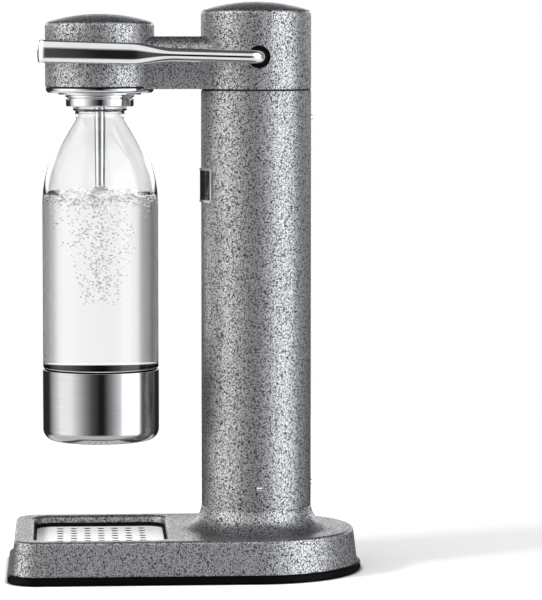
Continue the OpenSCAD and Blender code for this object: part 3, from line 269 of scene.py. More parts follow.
soft_light("left_light", (0.7, -1.5, 1.0), (0, 0, 0.1), 0.5, 0.4, 38)
soft_light("top_light", (0.5, 0.1, 1.9), (0, 0, 0.1), 1.2, 1.2, 7)
soft_light("rear_light", (-1.6, 0.3, 1.2), (0, 0, 0.2), 1.0, 0.8, 3)


# Base shell
# One metal casting: a flat top with the tray's well sunk in it, sides that lean in, and a
# cove that climbs to the tower's foot. It is sprayed with silver hammer-finish lacquer.
def new_material(name, constants):
    """A material with one Principled shader: its sockets, and the place on the piece."""
    made = bpy.data.materials.new(name)
    made.use_nodes = True
    tree = made.node_tree
    sockets = tree.nodes["Principled BSDF"].inputs
    for socket, value in constants.items():
        sockets[socket].default_value = value
    return made, sockets, Link(tree.nodes.new("ShaderNodeTexCoord").outputs["Object"])


def feed(sockets, name, link):
    """Links a result to one of the shader's sockets."""
    link.socket.id_data.links.new(link.socket, sockets[name])


def noise(place, size, detail=1.0, roughness=0.5, distortion=0.0):
    """Noise with grains of about that size, in metres."""
    settings = {"Vector": place, "Scale": 1 / size, "Detail": detail}
    settings.update({"Roughness": roughness, "Distortion": distortion})
    return place.add("ShaderNodeTexNoise", {}, settings)


def bump(sockets, height, distance):
    """Raises the surface by a height from 0 to 1, times distance in metres."""
    settings = {"Height": height, "Distance": distance, "Strength": 1.0}
    feed(sockets, "Normal", height.add("ShaderNodeBump", {}, settings))


def hammered_paint():
    """Silver hammer finish: pale metallic grains with dark worm-like valleys between them."""
    valley_size, break_size, grain_size, relief = 0.00135, 0.0016, 0.0006, 0.00008
    dull_silver, bright_silver = (0.37, 0.374, 0.382, 1), (0.7, 0.705, 0.718, 1)
    valley_grey = (0.035, 0.036, 0.042, 1)
    made, sockets, place = new_material("hammered_paint", {
        "Metallic": 0.97, "Coat Weight": 0.1, "Coat Roughness": 0.15,
    })
    # A valley winds along where the noise passes its middle, and breaks off here and there
    winding = noise(place, valley_size, 0.5, 0.5, 0.3)
    valleys = 1 - abs(winding - 0.5).rise(0.02, 0.13)
    broken = noise(place, break_size, 1.0).rise(0.26, 0.48)
    dark = valleys * broken
    grains = noise(place, grain_size, 1.5).rise(0.3, 0.7)
    feed(sockets, "Base Color", dark.blend(grains.blend(dull_silver, bright_silver), valley_grey))
    feed(sockets, "Roughness", 0.3 + 0.2 * dark + 0.06 * grains)
    bump(sockets, (1 - dark) * (0.6 + 0.4 * grains), relief)
    return made


paint = hammered_paint()
turn = 2 * math.pi
plinth_top = plinth_high[2]
front_y = plinth_low[1]
shell_inset = 0.0025
shell_lean = 0.0027
shell_edge_r = 0.0022
base_top = 0.0306
corner_x = base_half - front_corner_r
corner_y = front_y + front_corner_r
rear_steps = 120
corner_steps = 28


def base_plan(inset, z):
    """Points round the base: round behind, straight sides and two round front corners."""
    arcs = [
        (0, tower_y, base_half, 0, turn / 2, rear_steps),
        (-corner_x, corner_y, front_corner_r, turn / 2, turn * 3 / 4, corner_steps),
        (corner_x, corner_y, front_corner_r, turn * 3 / 4, turn, corner_steps),
    ]
    return [
        (x + (r - inset) * math.cos(a), y + (r - inset) * math.sin(a), z)
        for x, y, r, start, end, steps in arcs
        for a in [start + (end - start) * i / steps for i in range(steps + 1)]
    ]


def rounded_plan(half_w, half_l, r, y_mid, z, steps=16):
    """Points round a rectangle with round corners."""
    corners = [(1, 1, 0), (-1, 1, turn / 4), (-1, -1, turn / 2), (1, -1, turn * 3 / 4)]
    return [
        (sx * (half_w - r) + r * math.cos(a), y_mid + sy * (half_l - r) + r * math.sin(a), z)
        for sx, sy, start in corners
        for a in [start + turn / 4 * i / steps for i in range(steps + 1)]
    ]


def circle(r, y_mid, z, steps=144):
    """Points round the upright axis through y_mid."""
    return [(r * math.cos(turn * i / steps), y_mid + r * math.sin(turn * i / steps), z)
            for i in range(steps)]


def arc(x, z, r, start, end, steps):
    """Points of an arc in a section, from one angle to another, in degrees."""
    angles = [math.radians(start + (end - start) * i / steps) for i in range(steps + 1)]
    return [(x + r * math.cos(a), z + r * math.sin(a)) for a in angles]


def add_loops(mesh, loops):
    """Skins a row of closed loops of points, and returns the loops' vertices."""
    rows = [[mesh.verts.new(p) for p in loop] for loop in loops]
    for low, high in zip(rows, rows[1:]):
        count = len(low)
        for i in range(count):
            j = (i + 1) % count
            mesh.faces.new((low[i], low[j], high[j], high[i]))
    return rows


def fill_between(mesh, rows):
    """Fills the flat area between closed rows of vertices."""
    edges = []
    for row in rows:
        for i, vertex in enumerate(row):
            other = row[(i + 1) % len(row)]
            edges.append(mesh.edges.get((vertex, other)) or mesh.edges.new((vertex, other)))
    bmesh.ops.triangle_fill(mesh, use_beauty=True, use_dissolve=False, edges=edges)


same_point = 1e-7


def piece(name, mesh, material, body, replaced=(), sharp=35):
    """An object from mesh code: shaded smooth up to an angle, in its finish, on its body."""
    bmesh.ops.remove_doubles(mesh, verts=mesh.verts, dist=same_point)
    bmesh.ops.recalc_face_normals(mesh, faces=mesh.faces)
    for face in mesh.faces:
        face.smooth = True
    for edge in mesh.edges:
        edge.smooth = edge.calc_face_angle(math.pi) < math.radians(sharp)
    data = bpy.data.meshes.new(name)
    mesh.to_mesh(data)
    mesh.free()
    data.materials.append(material)
    made = bpy.data.objects.new(name, data)
    scene.collection.objects.link(made)
    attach(made, body)
    if replaced:
        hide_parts(*replaced)
    return made


tray_low, tray_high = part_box("drip_tray")
tray_gap = 0.0006
well_half_w = tray_high[0] + tray_gap
well_half_l = (tray_high[1] - tray_low[1]) / 2 + tray_gap
well_y = (tray_high[1] + tray_low[1]) / 2
well_bottom = tray_low[2] - tray_gap / 2
well_corner_r = 0.013
well_rim_r = 0.003
edge_steps, rim_steps = 7, 5
cove_r = 0.018
cove_end, cove_steps = 185.5, 24
tower_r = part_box("tower_tube")[1][0]
seam_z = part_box("tower_tube")[0][2]
seam_edge = 0.0004
seam_step = 0.0001
cove_toe = tower_r + cove_r
bay_r = 0.0335
spigot_r = 0.0379
spigot_seat_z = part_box("tower_spigot")[0][2]

# Outer side: it leans in from the plinth and ends in a round edge at the top
shell = bmesh.new()
edge_in = shell_inset + shell_lean
side = [(shell_inset, plinth_top)]
for i in range(edge_steps + 1):
    a = turn / 4 * (i / edge_steps)
    side.append((edge_in + shell_edge_r - shell_edge_r * math.cos(a),
                 base_top - shell_edge_r * (1 - math.sin(a))))
outer = add_loops(shell, [base_plan(inset, z) for inset, z in side])
# Well: a round rim, then straight down to its floor
well_steps = []
for i in range(rim_steps + 1):
    a = turn / 4 * (i / rim_steps)
    well_steps.append((well_rim_r * (1 - math.sin(a)), base_top - well_rim_r * (1 - math.cos(a))))
well_steps.append((0, well_bottom))
well = add_loops(shell, [
    rounded_plan(well_half_w + grow, well_half_l + grow, well_corner_r + grow, well_y, z)
    for grow, z in well_steps
])
# Cove: up to the tower's seam, then down the bore that holds the ring and the gas cylinder
cove = arc(cove_toe, base_top + cove_r, cove_r, 270, cove_end, cove_steps)
cove = [p for p in cove if p[1] < seam_z - seam_edge]
cove += [
    (tower_r + seam_step, seam_z - seam_edge), (tower_r + seam_step - seam_edge, seam_z),
    (spigot_r, seam_z), (spigot_r, spigot_seat_z), (bay_r, spigot_seat_z), (bay_r, plinth_top),
]
cove_rows = add_loops(shell, [circle(r, tower_y, z) for r, z in cove])
fill_between(shell, [outer[-1], well[0], cove_rows[0]])
fill_between(shell, [outer[0], cove_rows[-1]])
fill_between(shell, [well[-1]])
piece("base_casting", shell, paint, "root", ["base_shell"])


# Plinth, feet and their screws
# A moulded black tray closes the base from below, on four rubber feet, with six zinc-plated
# screws driven up through it into the casting.
def moulded_plastic(name, colour, roughness, grain, gloss=0.3):
    """Spark-eroded plastic: an even colour, a fine grain and slightly uneven gloss."""
    patch_size, grain_size, paler_by = 0.012, 0.00035, 1.35
    made, sockets, place = new_material(name, {"Specular IOR Level": gloss})
    uneven = noise(place, patch_size, 2.0)
    paler = tuple(c * paler_by for c in colour[:3]) + (1,)
    feed(sockets, "Base Color", uneven.blend(colour, paler))
    feed(sockets, "Roughness", roughness - 0.05 + 0.1 * uneven)
    bump(sockets, noise(place, grain_size), grain)
    return made


def dress(material, *names):
    """Puts a material on nodes that keep their own meshes."""
    for name in names:
        data = nodes[name].data
        data.materials.clear()
        data.materials.append(material)


black_plastic = moulded_plastic("black_plastic", (0.0015, 0.0015, 0.0016, 1), 0.38, 0.00002, 0.05)
rubber = moulded_plastic("rubber", (0.007, 0.007, 0.007, 1), 0.62, 0.00004)
dress(black_plastic, "base_plinth")
dress(rubber, "foot_pads")


def turned_metal(name, colour, roughness, along, fine=0.00025, metallic=1.0,
                 painted_shade_above=None, painted_shade_below=None):
    """Metal from a lathe or a drawing die: fine lines across the way it was turned. Above or below
    a height its colour is painted near-black: painted shade where a seam or a punched hole takes
    the light away."""
    cloud_size, line_relief, no_light = 0.009, 0.000006, (0.01, 0.01, 0.01, 1)
    above_edge, below_edge, paler_by, darker_by = 0.0002, 0.0001, 1.12, 0.86
    made, sockets, place = new_material(name, {"Metallic": metallic})
    stretched = place.add("ShaderNodeVectorMath", {"operation": "MULTIPLY"}, {0: place, 1: along})
    lines = noise(stretched, fine, 2.0)
    cloudy = noise(place, cloud_size, 2.0)
    paler = tuple(min(1, c * paler_by) for c in colour[:3]) + (1,)
    darker = tuple(c * darker_by for c in colour[:3]) + (1,)
    tone = (0.5 * lines + 0.5 * cloudy).blend(darker, paler)
    height = place.add("ShaderNodeSeparateXYZ", {}, {0: place}, "Z")
    # Painted shade: the colour goes near-black above or below the given height
    if painted_shade_above:
        tone = height.rise(painted_shade_above - above_edge, painted_shade_above).blend(tone, no_light)
    if painted_shade_below:
        tone = height.rise(painted_shade_below - below_edge, painted_shade_below).blend(no_light, tone)
    feed(sockets, "Base Color", tone)
    feed(sockets, "Roughness", roughness - 0.05 + 0.1 * lines)
    bump(sockets, lines, line_relief)
    return made


screw_steel = turned_metal("screw_steel", (0.72, 0.73, 0.75, 1), 0.24, (1, 1, 1))
dress(screw_steel, "plinth_screws", "housing_screws", "receiver_screws", "lever_set_screws")

# Drip tray and grille
# A thin black moulded tray drops into the well, and a pale satin steel plate with punched
# holes lies in its rim. Below the plate's face, the walls of the holes are painted dark as their
# shade.
# The walls of the holes under the plate's face get painted shade
grille_skin = 0.00005
grille_face_z = max(vertex.co.z for vertex in nodes["drip_grille"].data.vertices) - grille_skin
grille_steel = turned_metal("grille_steel", (0.97, 0.972, 0.975, 1), 0.42, (1, 0.04, 1),
                            metallic=0.12, painted_shade_below=grille_face_z)
tray_plastic = moulded_plastic("tray_plastic", (0.002, 0.002, 0.0022, 1), 0.75, 0.00003, 0.08)
dress(tray_plastic, "drip_tray")
dress(grille_steel, "drip_grille")

# Tower
# A rolled tube in the same lacquer as the base, held on rings inside it by small domed screws,
# with a rubber seam under the cap and a bare black plate in a metal frame on the front.
dress(paint, "tower_tube", "upper_housing")
dress(rubber, "seam_gasket", "head_gasket")
bright_steel = turned_metal("bright_steel", (0.8, 0.81, 0.83, 1), 0.12, (1, 1, 0.1))
dress(bright_steel, "tower_screws")
cast_aluminium = turned_metal("cast_aluminium", (0.66, 0.67, 0.68, 1), 0.38, (0.1, 0.1, 1), 0.0005)
dress(cast_aluminium, "tower_spigot", "valve_bracket")
badge_metal = turned_metal("badge_metal", (0.7, 0.71, 0.72, 1), 0.3, (0.1, 0.1, 1))
badge_black = moulded_plastic("badge_black", (0.006, 0.006, 0.007, 1), 0.14, 0.000002)
dress(badge_metal, "badge_frame")
dress(badge_black, "badge_insert")

# Bridge cover, guides and receiver
# Black mouldings: the strip that closes the bridge from below, the guides of the gas cylinder,
# and the threaded receiver with its manifold over the bottle.
dress(black_plastic, "bridge_cover", "cylinder_guide_lower", "cylinder_guide_upper",
      "bottle_receiver", "nozzle_manifold")
dress(rubber, "nozzle_seal", "neck_seal", "cylinder_seal")


# Head ring and collar
# A polished steel ring closes the head, and the bottle's receiver ends in a chrome collar
# with a lip, a groove and a plain band.
def fillet(corners, closed=True, steps=6):
    """A section's outline from corners (r, z, radius): each corner is rounded by its radius."""
    count = len(corners)
    points = []
    for i, (x, z, r) in enumerate(corners):
        if r == 0 or (not closed and i in (0, count - 1)):
            points.append((x, z))
            continue
        here = Vector((x, z))
        before = (Vector(corners[i - 1][:2]) - here).normalized()
        after = (Vector(corners[(i + 1) % count][:2]) - here).normalized()
        half = before.angle(after) / 2
        middle = here + (before + after).normalized() * (r / math.sin(half))
        first = here + before * (r / math.tan(half)) - middle
        last = here + after * (r / math.tan(half)) - middle
        sweep = first.angle_signed(last)
        start = math.atan2(first.y, first.x)
        for k in range(steps + 1):
            a = start - sweep * k / steps
            points.append((middle.x + r * math.cos(a), middle.y + r * math.sin(a)))
    return points


def lathe(outline, y_mid, steps=160, closed=True):
    """A turned solid: the outline (r, z) goes round the upright axis through y_mid."""
    mesh = bmesh.new()
    rows = []
    for r, z in outline:
        if r < same_point:
            rows.append([mesh.verts.new((0, y_mid, z))])
        else:
            rows.append([mesh.verts.new(p) for p in circle(r, y_mid, z, steps)])
    pairs = list(zip(rows, rows[1:])) + ([(rows[-1], rows[0])] if closed else [])
    for low, high in pairs:
        for i in range(steps):
            j = (i + 1) % steps
            if len(low) == 1 and len(high) == 1:
                break
            if len(low) == 1:
                mesh.faces.new((low[0], high[j], high[i]))
            elif len(high) == 1:
                mesh.faces.new((low[i], low[j], high[0]))
            else:
                mesh.faces.new((low[i], low[j], high[j], high[i]))
    return mesh


ring_low, ring_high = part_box("head_ring")
head_y = (ring_low[1] + ring_high[1]) / 2
ring_r = ring_high[0]
ring_step = 0.0013
ring_step_r = 0.030
ring_bore_r = 0.0216
ring_step_edge_r, ring_step_foot_r, ring_belly_r, ring_top_r = 0.0006, 0.0004, 0.0024, 0.0003
# The ring's top is painted near-black: a painted shadow line along the seam under the head,
# standing in also for the thin dark gasket there
ring_shadow = 0.0007
ring_steel = turned_metal("ring_steel", (0.7, 0.705, 0.72, 1), 0.09, (0.05, 0.05, 1),
                          painted_shade_above=ring_high[2] - ring_shadow)
ring_section = fillet([
    (ring_bore_r, ring_low[2], 0), (ring_step_r, ring_low[2], ring_step_edge_r),
    (ring_step_r, ring_low[2] + ring_step, ring_step_foot_r),
    (ring_r, ring_low[2] + ring_step, ring_belly_r), (ring_r, ring_high[2], ring_top_r),
    (ring_bore_r, ring_high[2], 0),
], steps=8)
piece("head_ring_polished", lathe(ring_section, head_y), ring_steel, "root",
      ["head_ring"])

collar_low, collar_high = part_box("receiver_collar")
collar_lip = 0.0005
collar_r = collar_high[0] - collar_lip
collar_h = collar_high[2] - collar_low[2]
band_share, groove_share, groove_depth = 0.7, 0.09, 0.0007
collar_band = collar_low[2] + band_share * collar_h
collar_groove = collar_band + groove_share * collar_h
groove_r = collar_r - groove_depth
collar_foot_r, collar_edge_r, groove_corner_r, lip_foot_r, lip_top_r = (
    0.0009, 0.0006, 0.0002, 0.0005, 0.0007)
collar_chrome = turned_metal("collar_chrome", (0.72, 0.725, 0.74, 1), 0.07, (0.05, 0.05, 1))
collar_section = fillet([
    (ring_bore_r, collar_low[2], 0), (collar_r, collar_low[2], collar_foot_r),
    (collar_r, collar_band, collar_edge_r), (groove_r, collar_band, groove_corner_r),
    (groove_r, collar_groove, groove_corner_r), (collar_high[0], collar_groove, lip_foot_r),
    (collar_high[0], collar_high[2], lip_top_r), (ring_bore_r, collar_high[2], 0),
])
piece("collar_chromed", lathe(collar_section, head_y), collar_chrome, "root",
      ["receiver_collar"])

# Nozzle
# A drawn steel tube hangs from the manifold into the bottle and ends in a pressed-in tip.
nozzle_steel = turned_metal("nozzle_steel", (0.8, 0.81, 0.83, 1), 0.16, (1, 1, 0.03))
dress(nozzle_steel, "carbonation_nozzle", "nozzle_tip", "valve_plunger", "valve_pin")

# Gas train
# Brass valve block, nut, relief valve and fittings, a smooth black hose, wire springs, and an
# aluminium gas cylinder with a brass valve: all inside the tower and the head.
brass = turned_metal("brass", (0.78, 0.6, 0.3, 1), 0.27, (0.1, 0.1, 1), 0.0004)
dress(brass, "valve_block", "valve_nut", "relief_valve", "relief_cap", "hose_fittings",
      "cylinder_valve")
hose_rubber = moulded_plastic("hose_rubber", (0.02, 0.02, 0.02, 1), 0.45, 0.00001)
dress(hose_rubber, "gas_hose")
spring_steel = turned_metal("spring_steel", (0.7, 0.71, 0.73, 1), 0.25, (1, 1, 1))
dress(spring_steel, "plunger_spring", "relief_spring")
cylinder_metal = turned_metal("cylinder_aluminium", (0.7, 0.71, 0.72, 1), 0.33, (0.05, 0.05, 1))
dress(cylinder_metal, "gas_cylinder")

# Lever
# One bent steel bar, polished: round at the pivots, upright and flat beside the head, and
# thinner across its front. Two journals run in black bushes, and join a shaft with the cam.
bush_plastic = moulded_plastic("bush_plastic", (0.002, 0.002, 0.002, 1), 0.35, 0.00001, 0.08)
dress(bush_plastic, "lever_bushes")
shaft_steel = turned_metal("shaft_steel", (0.6, 0.61, 0.63, 1), 0.3, (0.05, 1, 1))
dress(shaft_steel, "lever_shaft", "lever_cam")
lever_steel = turned_metal("lever_steel", (0.86, 0.865, 0.87, 1), 0.055, (1, 0.03, 1), 0.0004)

lever_joint = next(joint for joint in frame["joints"] if joint["name"] == "lever_turn")
pivot_z = lever_joint["pos_m"][2]
rod_r = 0.00475
arm_x = 0.0465
lever_len = 0.1566
arm_slope = math.radians(1.5)
flat_from, flat_to = 0.060, 0.092
band_h, bar_h = 0.0155, 0.0163
arm_t, band_t = 0.005, 0.0028
lever_corner_r = 0.004
bend_x = 0.0402
journal_len = 0.0162
bend_steps = 16
flat_steps = 20
lever_corner_steps = 14
lever_sides = 64
ellipse_power, band_power = 2, 2.1


def smooth(t):
    """A slope from 0 to 1 that starts and ends level."""
    t = min(1, max(0, t))
    return t * t * (3 - 2 * t)


def mix(a, b, t):
    """The value a share t of the way from a to b."""
    return a + (b - a) * t


def station(x, y, dx, dy, flat, height, thick=arm_t):
    """A place on the bar, its direction, and half its width, half its height and squareness."""
    half_w, half_h = mix(rod_r, thick / 2, flat), mix(rod_r, height / 2, flat)
    return x, y, dx, dy, half_w, half_h, mix(ellipse_power, band_power, flat)


def half_lever():
    """The bar from its journal to the end of its front corner."""
    bend_r = arm_x - bend_x
    front_corner = lever_len - lever_corner_r
    grow = (bar_h - band_h) / (lever_len - flat_to)
    stations = [station(bend_x - journal_len, 0, 1, 0, 0, band_h)]
    for i in range(bend_steps + 1):
        a = turn / 4 * i / bend_steps
        x, y = bend_x + bend_r * math.sin(a), bend_r * (math.cos(a) - 1)
        stations.append(station(x, y, math.cos(a), -math.sin(a), 0, band_h))
    for i in range(flat_steps + 1):
        y = mix(flat_from, flat_to, i / flat_steps)
        stations.append(station(arm_x, -y, 0, -1, smooth(i / flat_steps), band_h))
    for i in range(lever_corner_steps + 1):
        a = turn / 4 * i / lever_corner_steps
        x = arm_x - lever_corner_r + lever_corner_r * math.cos(a)
        y = -front_corner - lever_corner_r * math.sin(a)
        height = band_h + grow * (-y - flat_to)
        thick = mix(arm_t, band_t, i / lever_corner_steps)
        stations.append(station(x, y, -math.sin(a), -math.cos(a), 1, height, thick))
    return stations


def bar_section(x, y, dx, dy, half_w, half_h, power):
    """Points round the bar at a station, tilted with the arm and set at the pivot."""
    points = []
    for j in range(lever_sides):
        a = turn * j / lever_sides
        c, s = math.cos(a), math.sin(a)
        u = half_w * math.copysign(abs(c) ** (ellipse_power / power), c)
        v = half_h * math.copysign(abs(s) ** (ellipse_power / power), s)
        px, py, pz = x - dy * u, y + dx * u, v
        back = tower_y + py * math.cos(arm_slope) + pz * math.sin(arm_slope)
        rise = -py * math.sin(arm_slope) + pz * math.cos(arm_slope)
        points.append((px, back, pivot_z + rise))
    return points


near_half = half_lever()
far_half = [(-x, y, dx, -dy, w, h, p) for x, y, dx, dy, w, h, p in reversed(near_half)]
lever_mesh = bmesh.new()
lever_rows = add_loops(lever_mesh, [bar_section(*s) for s in near_half + far_half])
for row in (lever_rows[0], lever_rows[-1]):
    lever_mesh.faces.new(row)
piece("lever_bar", lever_mesh, lever_steel, "lever", ["lever"], sharp=50)


# Bottle
# A clear blown bottle that hangs by its thread, with a ledge under the threaded finish. Its
# foot sits in a steel cup with a black liner, and looks black where the liner grips it.
def clear_material(name, colour, index, alpha=1.0):
    """Something smooth that light goes through, bent by its index."""
    return new_material(name, {
        "Base Color": colour, "Transmission Weight": 1.0, "IOR": index, "Roughness": 0.0,
        "Alpha": alpha,
    })


plastic_index, water_index = 1.5, 1.33
bottle_low, bottle_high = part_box("bottle_body")
cup_low, cup_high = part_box("bottle_cup")
bottle_r = bottle_high[0]
bottle_wall = 0.0016
neck_r = 0.0178
ledge_r = 0.0194
finish_inset = 0.0006
finish_r = neck_r - finish_inset
finish_h, ledge_t, neck_h, shoulder_h = 0.0082, 0.0027, 0.004, 0.0656
ledge_z = bottle_high[2] - finish_h - ledge_t
neck_z = ledge_z - neck_h
shoulder_z = neck_z - shoulder_h
bottle_step_z = cup_high[2] + bottle_wall / 2
step_rise, step_foot_r, step_edge_r = 0.0004, 0.0004, 0.0006
gripped_over_step = 0.0003
gripped_z = bottle_step_z + gripped_over_step
foot_r = 0.04065
foot_corner_r = 0.007
shoulder_swell = 0.463
shoulder_low_pull, shoulder_high_pull = 0.5, 0.7
shoulder_steps = 40
bottle_sides = 192


def shoulder(inset):
    """Points up the shoulder's curve, drawn in by a wall."""
    swell_r = mix(neck_r, bottle_r, shoulder_swell) - inset
    ends = [
        (bottle_r - inset, shoulder_z),
        (bottle_r - inset, shoulder_z + shoulder_low_pull * shoulder_h),
        (swell_r, shoulder_z + shoulder_high_pull * shoulder_h), (neck_r - inset, neck_z),
    ]
    points = []
    for i in range(shoulder_steps + 1):
        t = i / shoulder_steps
        weights = [(1 - t) ** 3, 3 * t * (1 - t) ** 2, 3 * t * t * (1 - t), t ** 3]
        points.append(tuple(sum(w * p[k] for w, p in zip(weights, ends)) for k in (0, 1)))
    return points


def body_outline(inset, floor_z):
    """The bottle's outline from the middle of its floor up to the neck, drawn in by a wall."""
    # Inside, the wall is parted at the height where its black foot ends
    gripped = [(foot_r - inset, gripped_z, 0)] if inset else []
    foot = fillet([
        (0, floor_z, 0), (foot_r - inset, floor_z, foot_corner_r - inset), *gripped,
        (foot_r - inset, bottle_step_z + inset, step_foot_r),
        (bottle_r - inset, bottle_step_z + inset + step_rise, step_edge_r),
        (bottle_r - inset, shoulder_z, 0),
    ], closed=False)
    return foot[:-1] + shoulder(inset)


# The threaded finish: its ledge, two ridges that stand for the thread, and its round lip
ridge = 0.0007
ridge_places = (0.25, 0.65)
ridge_from, ridge_to, ridge_end = 0.0002, 0.001, 0.0012
ridge_foot_r, ridge_top_r = 0.0001, 0.0003
ledge_foot_r, ledge_edge_r, finish_foot_r, lip_r = 0.0004, 0.0005, 0.0002, 0.0004
ledge_top = ledge_z + ledge_t
outer_wall = body_outline(0, bottle_low[2])
finish_top = bottle_high[2]
finish_corners = [
    (neck_r, neck_z, 0), (neck_r, ledge_z, ledge_foot_r), (ledge_r, ledge_z, ledge_edge_r),
    (ledge_r, ledge_top, ledge_edge_r), (finish_r, ledge_top, finish_foot_r),
]
for share in ridge_places:
    z = ledge_top + finish_h * share
    finish_corners += [
        (finish_r, z, ridge_foot_r), (finish_r + ridge, z + ridge_from, ridge_top_r),
        (finish_r + ridge, z + ridge_to, ridge_top_r), (finish_r, z + ridge_end, ridge_foot_r),
    ]
finish_corners += [
    (finish_r, finish_top, lip_r), (neck_r - bottle_wall, finish_top, lip_r),
    (neck_r - bottle_wall, neck_z, 0),
]
finish_wall = fillet(finish_corners, closed=False, steps=4)
inner_wall = body_outline(bottle_wall, bottle_low[2] + bottle_wall)
bottle_mesh = lathe(outer_wall[:-1] + finish_wall[:-1] + inner_wall[::-1], head_y, bottle_sides,
                    closed=False)
clear_plastic = clear_material("clear_bottle", (0.94, 0.943, 0.945, 1), plastic_index)[0]
bottle_glass = piece("bottle_glass", bottle_mesh, clear_plastic, "bottle",
                     ["bottle_body"])
# The wall is clear, wet inside below the water, where light passes from plastic straight to
# water, or black where the liner grips it
wet_plastic = clear_material("clear_bottle_wet", (1, 1, 1, 1), plastic_index / water_index)[0]
bottle_glass.data.materials.append(wet_plastic)
bottle_glass.data.materials.append(black_plastic)
wet_face, gripped_face = 1, 2
water_low, water_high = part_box("bottle_water")
water_z = water_high[2]
inner_r = bottle_r - bottle_wall
wall_allowance = 0.0002
for face in bottle_glass.data.polygons:
    x, y, z = face.center
    wide = math.hypot(x, y - head_y)
    if z < gripped_z:
        face.material_index = gripped_face
    elif wide < inner_r + wall_allowance and z < water_z:
        face.material_index = wet_face

# Water
# The bottle's fill, stirred up by the gas: a rough surface with froth under it, and a plume
# of small bubbles round the nozzle that thins out on the way down.
water_gap = 0.0001
water_sides = 128
surface_rings = 30
# Each swell has its height, its waves along x and y in radians per metre, and its shift
swells = [
    (0.0016, 150, 60, 0.4), (0.0011, -120, 240, 2.1),
    (0.0007, 420, -310, 0.9), (0.0004, 700, 560, 3.0),
]
mound_h, mound_r = 0.0035, 0.009
foam_size, foam_h = 0.0022, 0.0016
surface_depth, surface_least_z = 0.006, 0.3


def stirred(x, y):
    """Height of the stirred surface over the water's level: swells, and a mound at the nozzle."""
    ripples = sum(high * math.sin(a * x + b * y + shift) for high, a, b, shift in swells)
    return ripples + mound_h * math.exp(-(x * x + y * y) / mound_r ** 2)


water_outline = [p for p in body_outline(bottle_wall + water_gap, water_low[2]) if p[1] < water_z]
surface_r = water_outline[-1][0]
water_outline += [(surface_r * (1 - i / surface_rings), water_z) for i in range(surface_rings + 1)]
water_mesh = lathe(water_outline, head_y, water_sides, closed=False)
for vertex in water_mesh.verts:
    if vertex.co.z > water_z - water_gap:
        vertex.co.z += stirred(vertex.co.x, vertex.co.y - head_y)
water, water_sockets, water_place = clear_material("water", (0.9, 0.9, 0.9, 1), water_index)
bump(water_sockets, noise(water_place, foam_size, 2.0, 0.6), foam_h)
water_piece = piece("water_fill", water_mesh, water, "bottle", ["bottle_water"], sharp=60)
# The bottle's wet wall already bends the light, so the water's own side is left clear
water_side = clear_material("water_side", (0.99, 0.99, 0.99, 1), 1.0, alpha=0.0)[0]
water_piece.data.materials.append(water_side)
for face in water_piece.data.polygons:
    if face.center.z < water_z - surface_depth or face.normal.z < surface_least_z:
        face.material_index = 1


def add_bubble(x, y, z, r):
    """One bubble, at a place from the middle of the bottle."""
    place = Matrix.Translation((x, head_y + y, z))
    bmesh.ops.create_icosphere(bubble_mesh, subdivisions=2, radius=r, matrix=place)


random = Random(4)
bubble_mesh = bmesh.new()
# Froth: two bubbles in three lie near the wall, the others near the nozzle, and a few large
# ones right beside it
froth_count, large_count = 320, 14
froth_least_r, froth_extra_r = 0.0004, 0.0007
froth_wall_gap, froth_sunk, froth_depth = 0.0015, 0.0008, 0.005
wall_spread, wall_crowding = 0.5, 1.5
nozzle_share, nozzle_spread = 0.12, 0.3
large_reach, large_scale = 0.004, 1.8
for i in range(froth_count):
    if i % 3:
        share = 1 - wall_spread * random.random() ** wall_crowding
    else:
        share = nozzle_spread * random.random() + nozzle_share
    reach_r = (surface_r - froth_wall_gap) * share
    a = turn * random.random()
    r = froth_least_r + froth_extra_r * random.random()
    if i < large_count:
        reach_r, r = large_reach * random.random(), large_scale * r
    x, y = reach_r * math.cos(a), reach_r * math.sin(a)
    z = water_z + stirred(x, y) - r - froth_sunk - froth_depth * random.random() ** 2
    add_bubble(x, y, z, r)
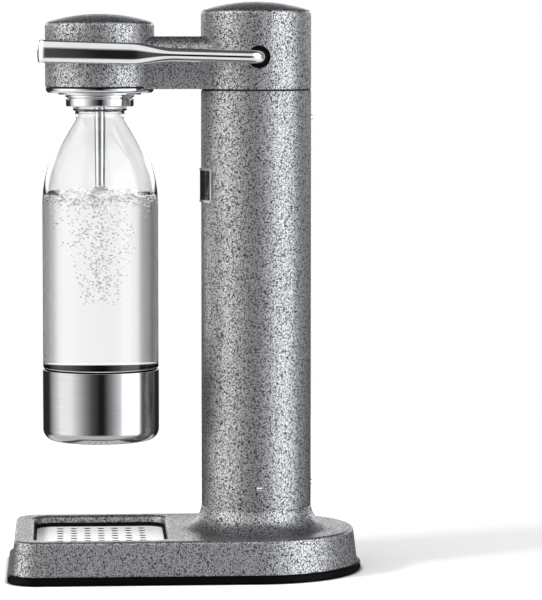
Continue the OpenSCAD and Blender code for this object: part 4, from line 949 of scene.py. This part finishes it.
# Plume: wide at the surface, narrow and thin lower down
bubble_count = 720
bubble_least_r, bubble_extra_r = 0.00035, 0.0004
plume_sunk, plume_depth = 0.0015, 0.08
plume_top_r, plume_low_r = 0.032, 0.009
plume_thinning, plume_crowding = 1.5, 0.9
for i in range(bubble_count):
    down = random.random() ** plume_thinning
    reach_r = mix(plume_top_r, plume_low_r, down) * random.random() ** plume_crowding
    a = turn * random.random()
    x, y = reach_r * math.cos(a), reach_r * math.sin(a)
    z = water_z + stirred(x, y) - plume_sunk - plume_depth * down
    add_bubble(x, y, z, bubble_least_r + bubble_extra_r * random.random())
bubble = clear_material("bubble", (0.8, 0.8, 0.8, 1), 1 / water_index)[0]
piece("bubbles", bubble_mesh, bubble, "bottle", sharp=180)


# Cup and liner
# Deep-drawn steel, brushed round and round, with a polished lip; the liner inside grips the
# bottle's foot.
def brushed_steel():
    """Steel with fine level lines round it, over cloudy greys."""
    line_size, cloud_size, relief, stretch = 0.00032, 0.02, 0.000008, (0.012, 0.012, 1)
    dark_steel, pale_steel = (0.36, 0.363, 0.366, 1), (0.56, 0.56, 0.565, 1)
    made, sockets, place = new_material("cup_steel", {"Metallic": 1.0})
    multiply = {"operation": "MULTIPLY"}
    flat_rings = place.add("ShaderNodeVectorMath", multiply, {0: place, 1: stretch})
    lines = noise(flat_rings, line_size, 3.0, 0.6)
    clouds = noise(place, cloud_size, 2.0)
    feed(sockets, "Base Color", (0.7 * lines + 0.3 * clouds).blend(dark_steel, pale_steel))
    feed(sockets, "Roughness", 0.1 + 0.06 * lines)
    bump(sockets, lines, relief)
    return made


cup_r = cup_high[0]
cup_wall = 0.0008
cup_corner_r = 0.0085
cup_lip_r = 0.00035
cup_floor = 0.0012
cup_floor_z = cup_low[2] + cup_floor
cup_section = fillet([
    (0, cup_low[2], 0), (cup_r, cup_low[2], cup_corner_r), (cup_r, cup_high[2], cup_lip_r),
    (cup_r - cup_wall, cup_high[2], cup_lip_r),
    (cup_r - cup_wall, cup_floor_z, cup_corner_r - cup_wall), (0, cup_floor_z, 0),
], closed=False, steps=12)
cup_mesh = lathe(cup_section, head_y, bottle_sides, closed=False)
piece("cup_brushed", cup_mesh, brushed_steel(), "bottle", ["bottle_cup"])
dress(black_plastic, "cup_liner")
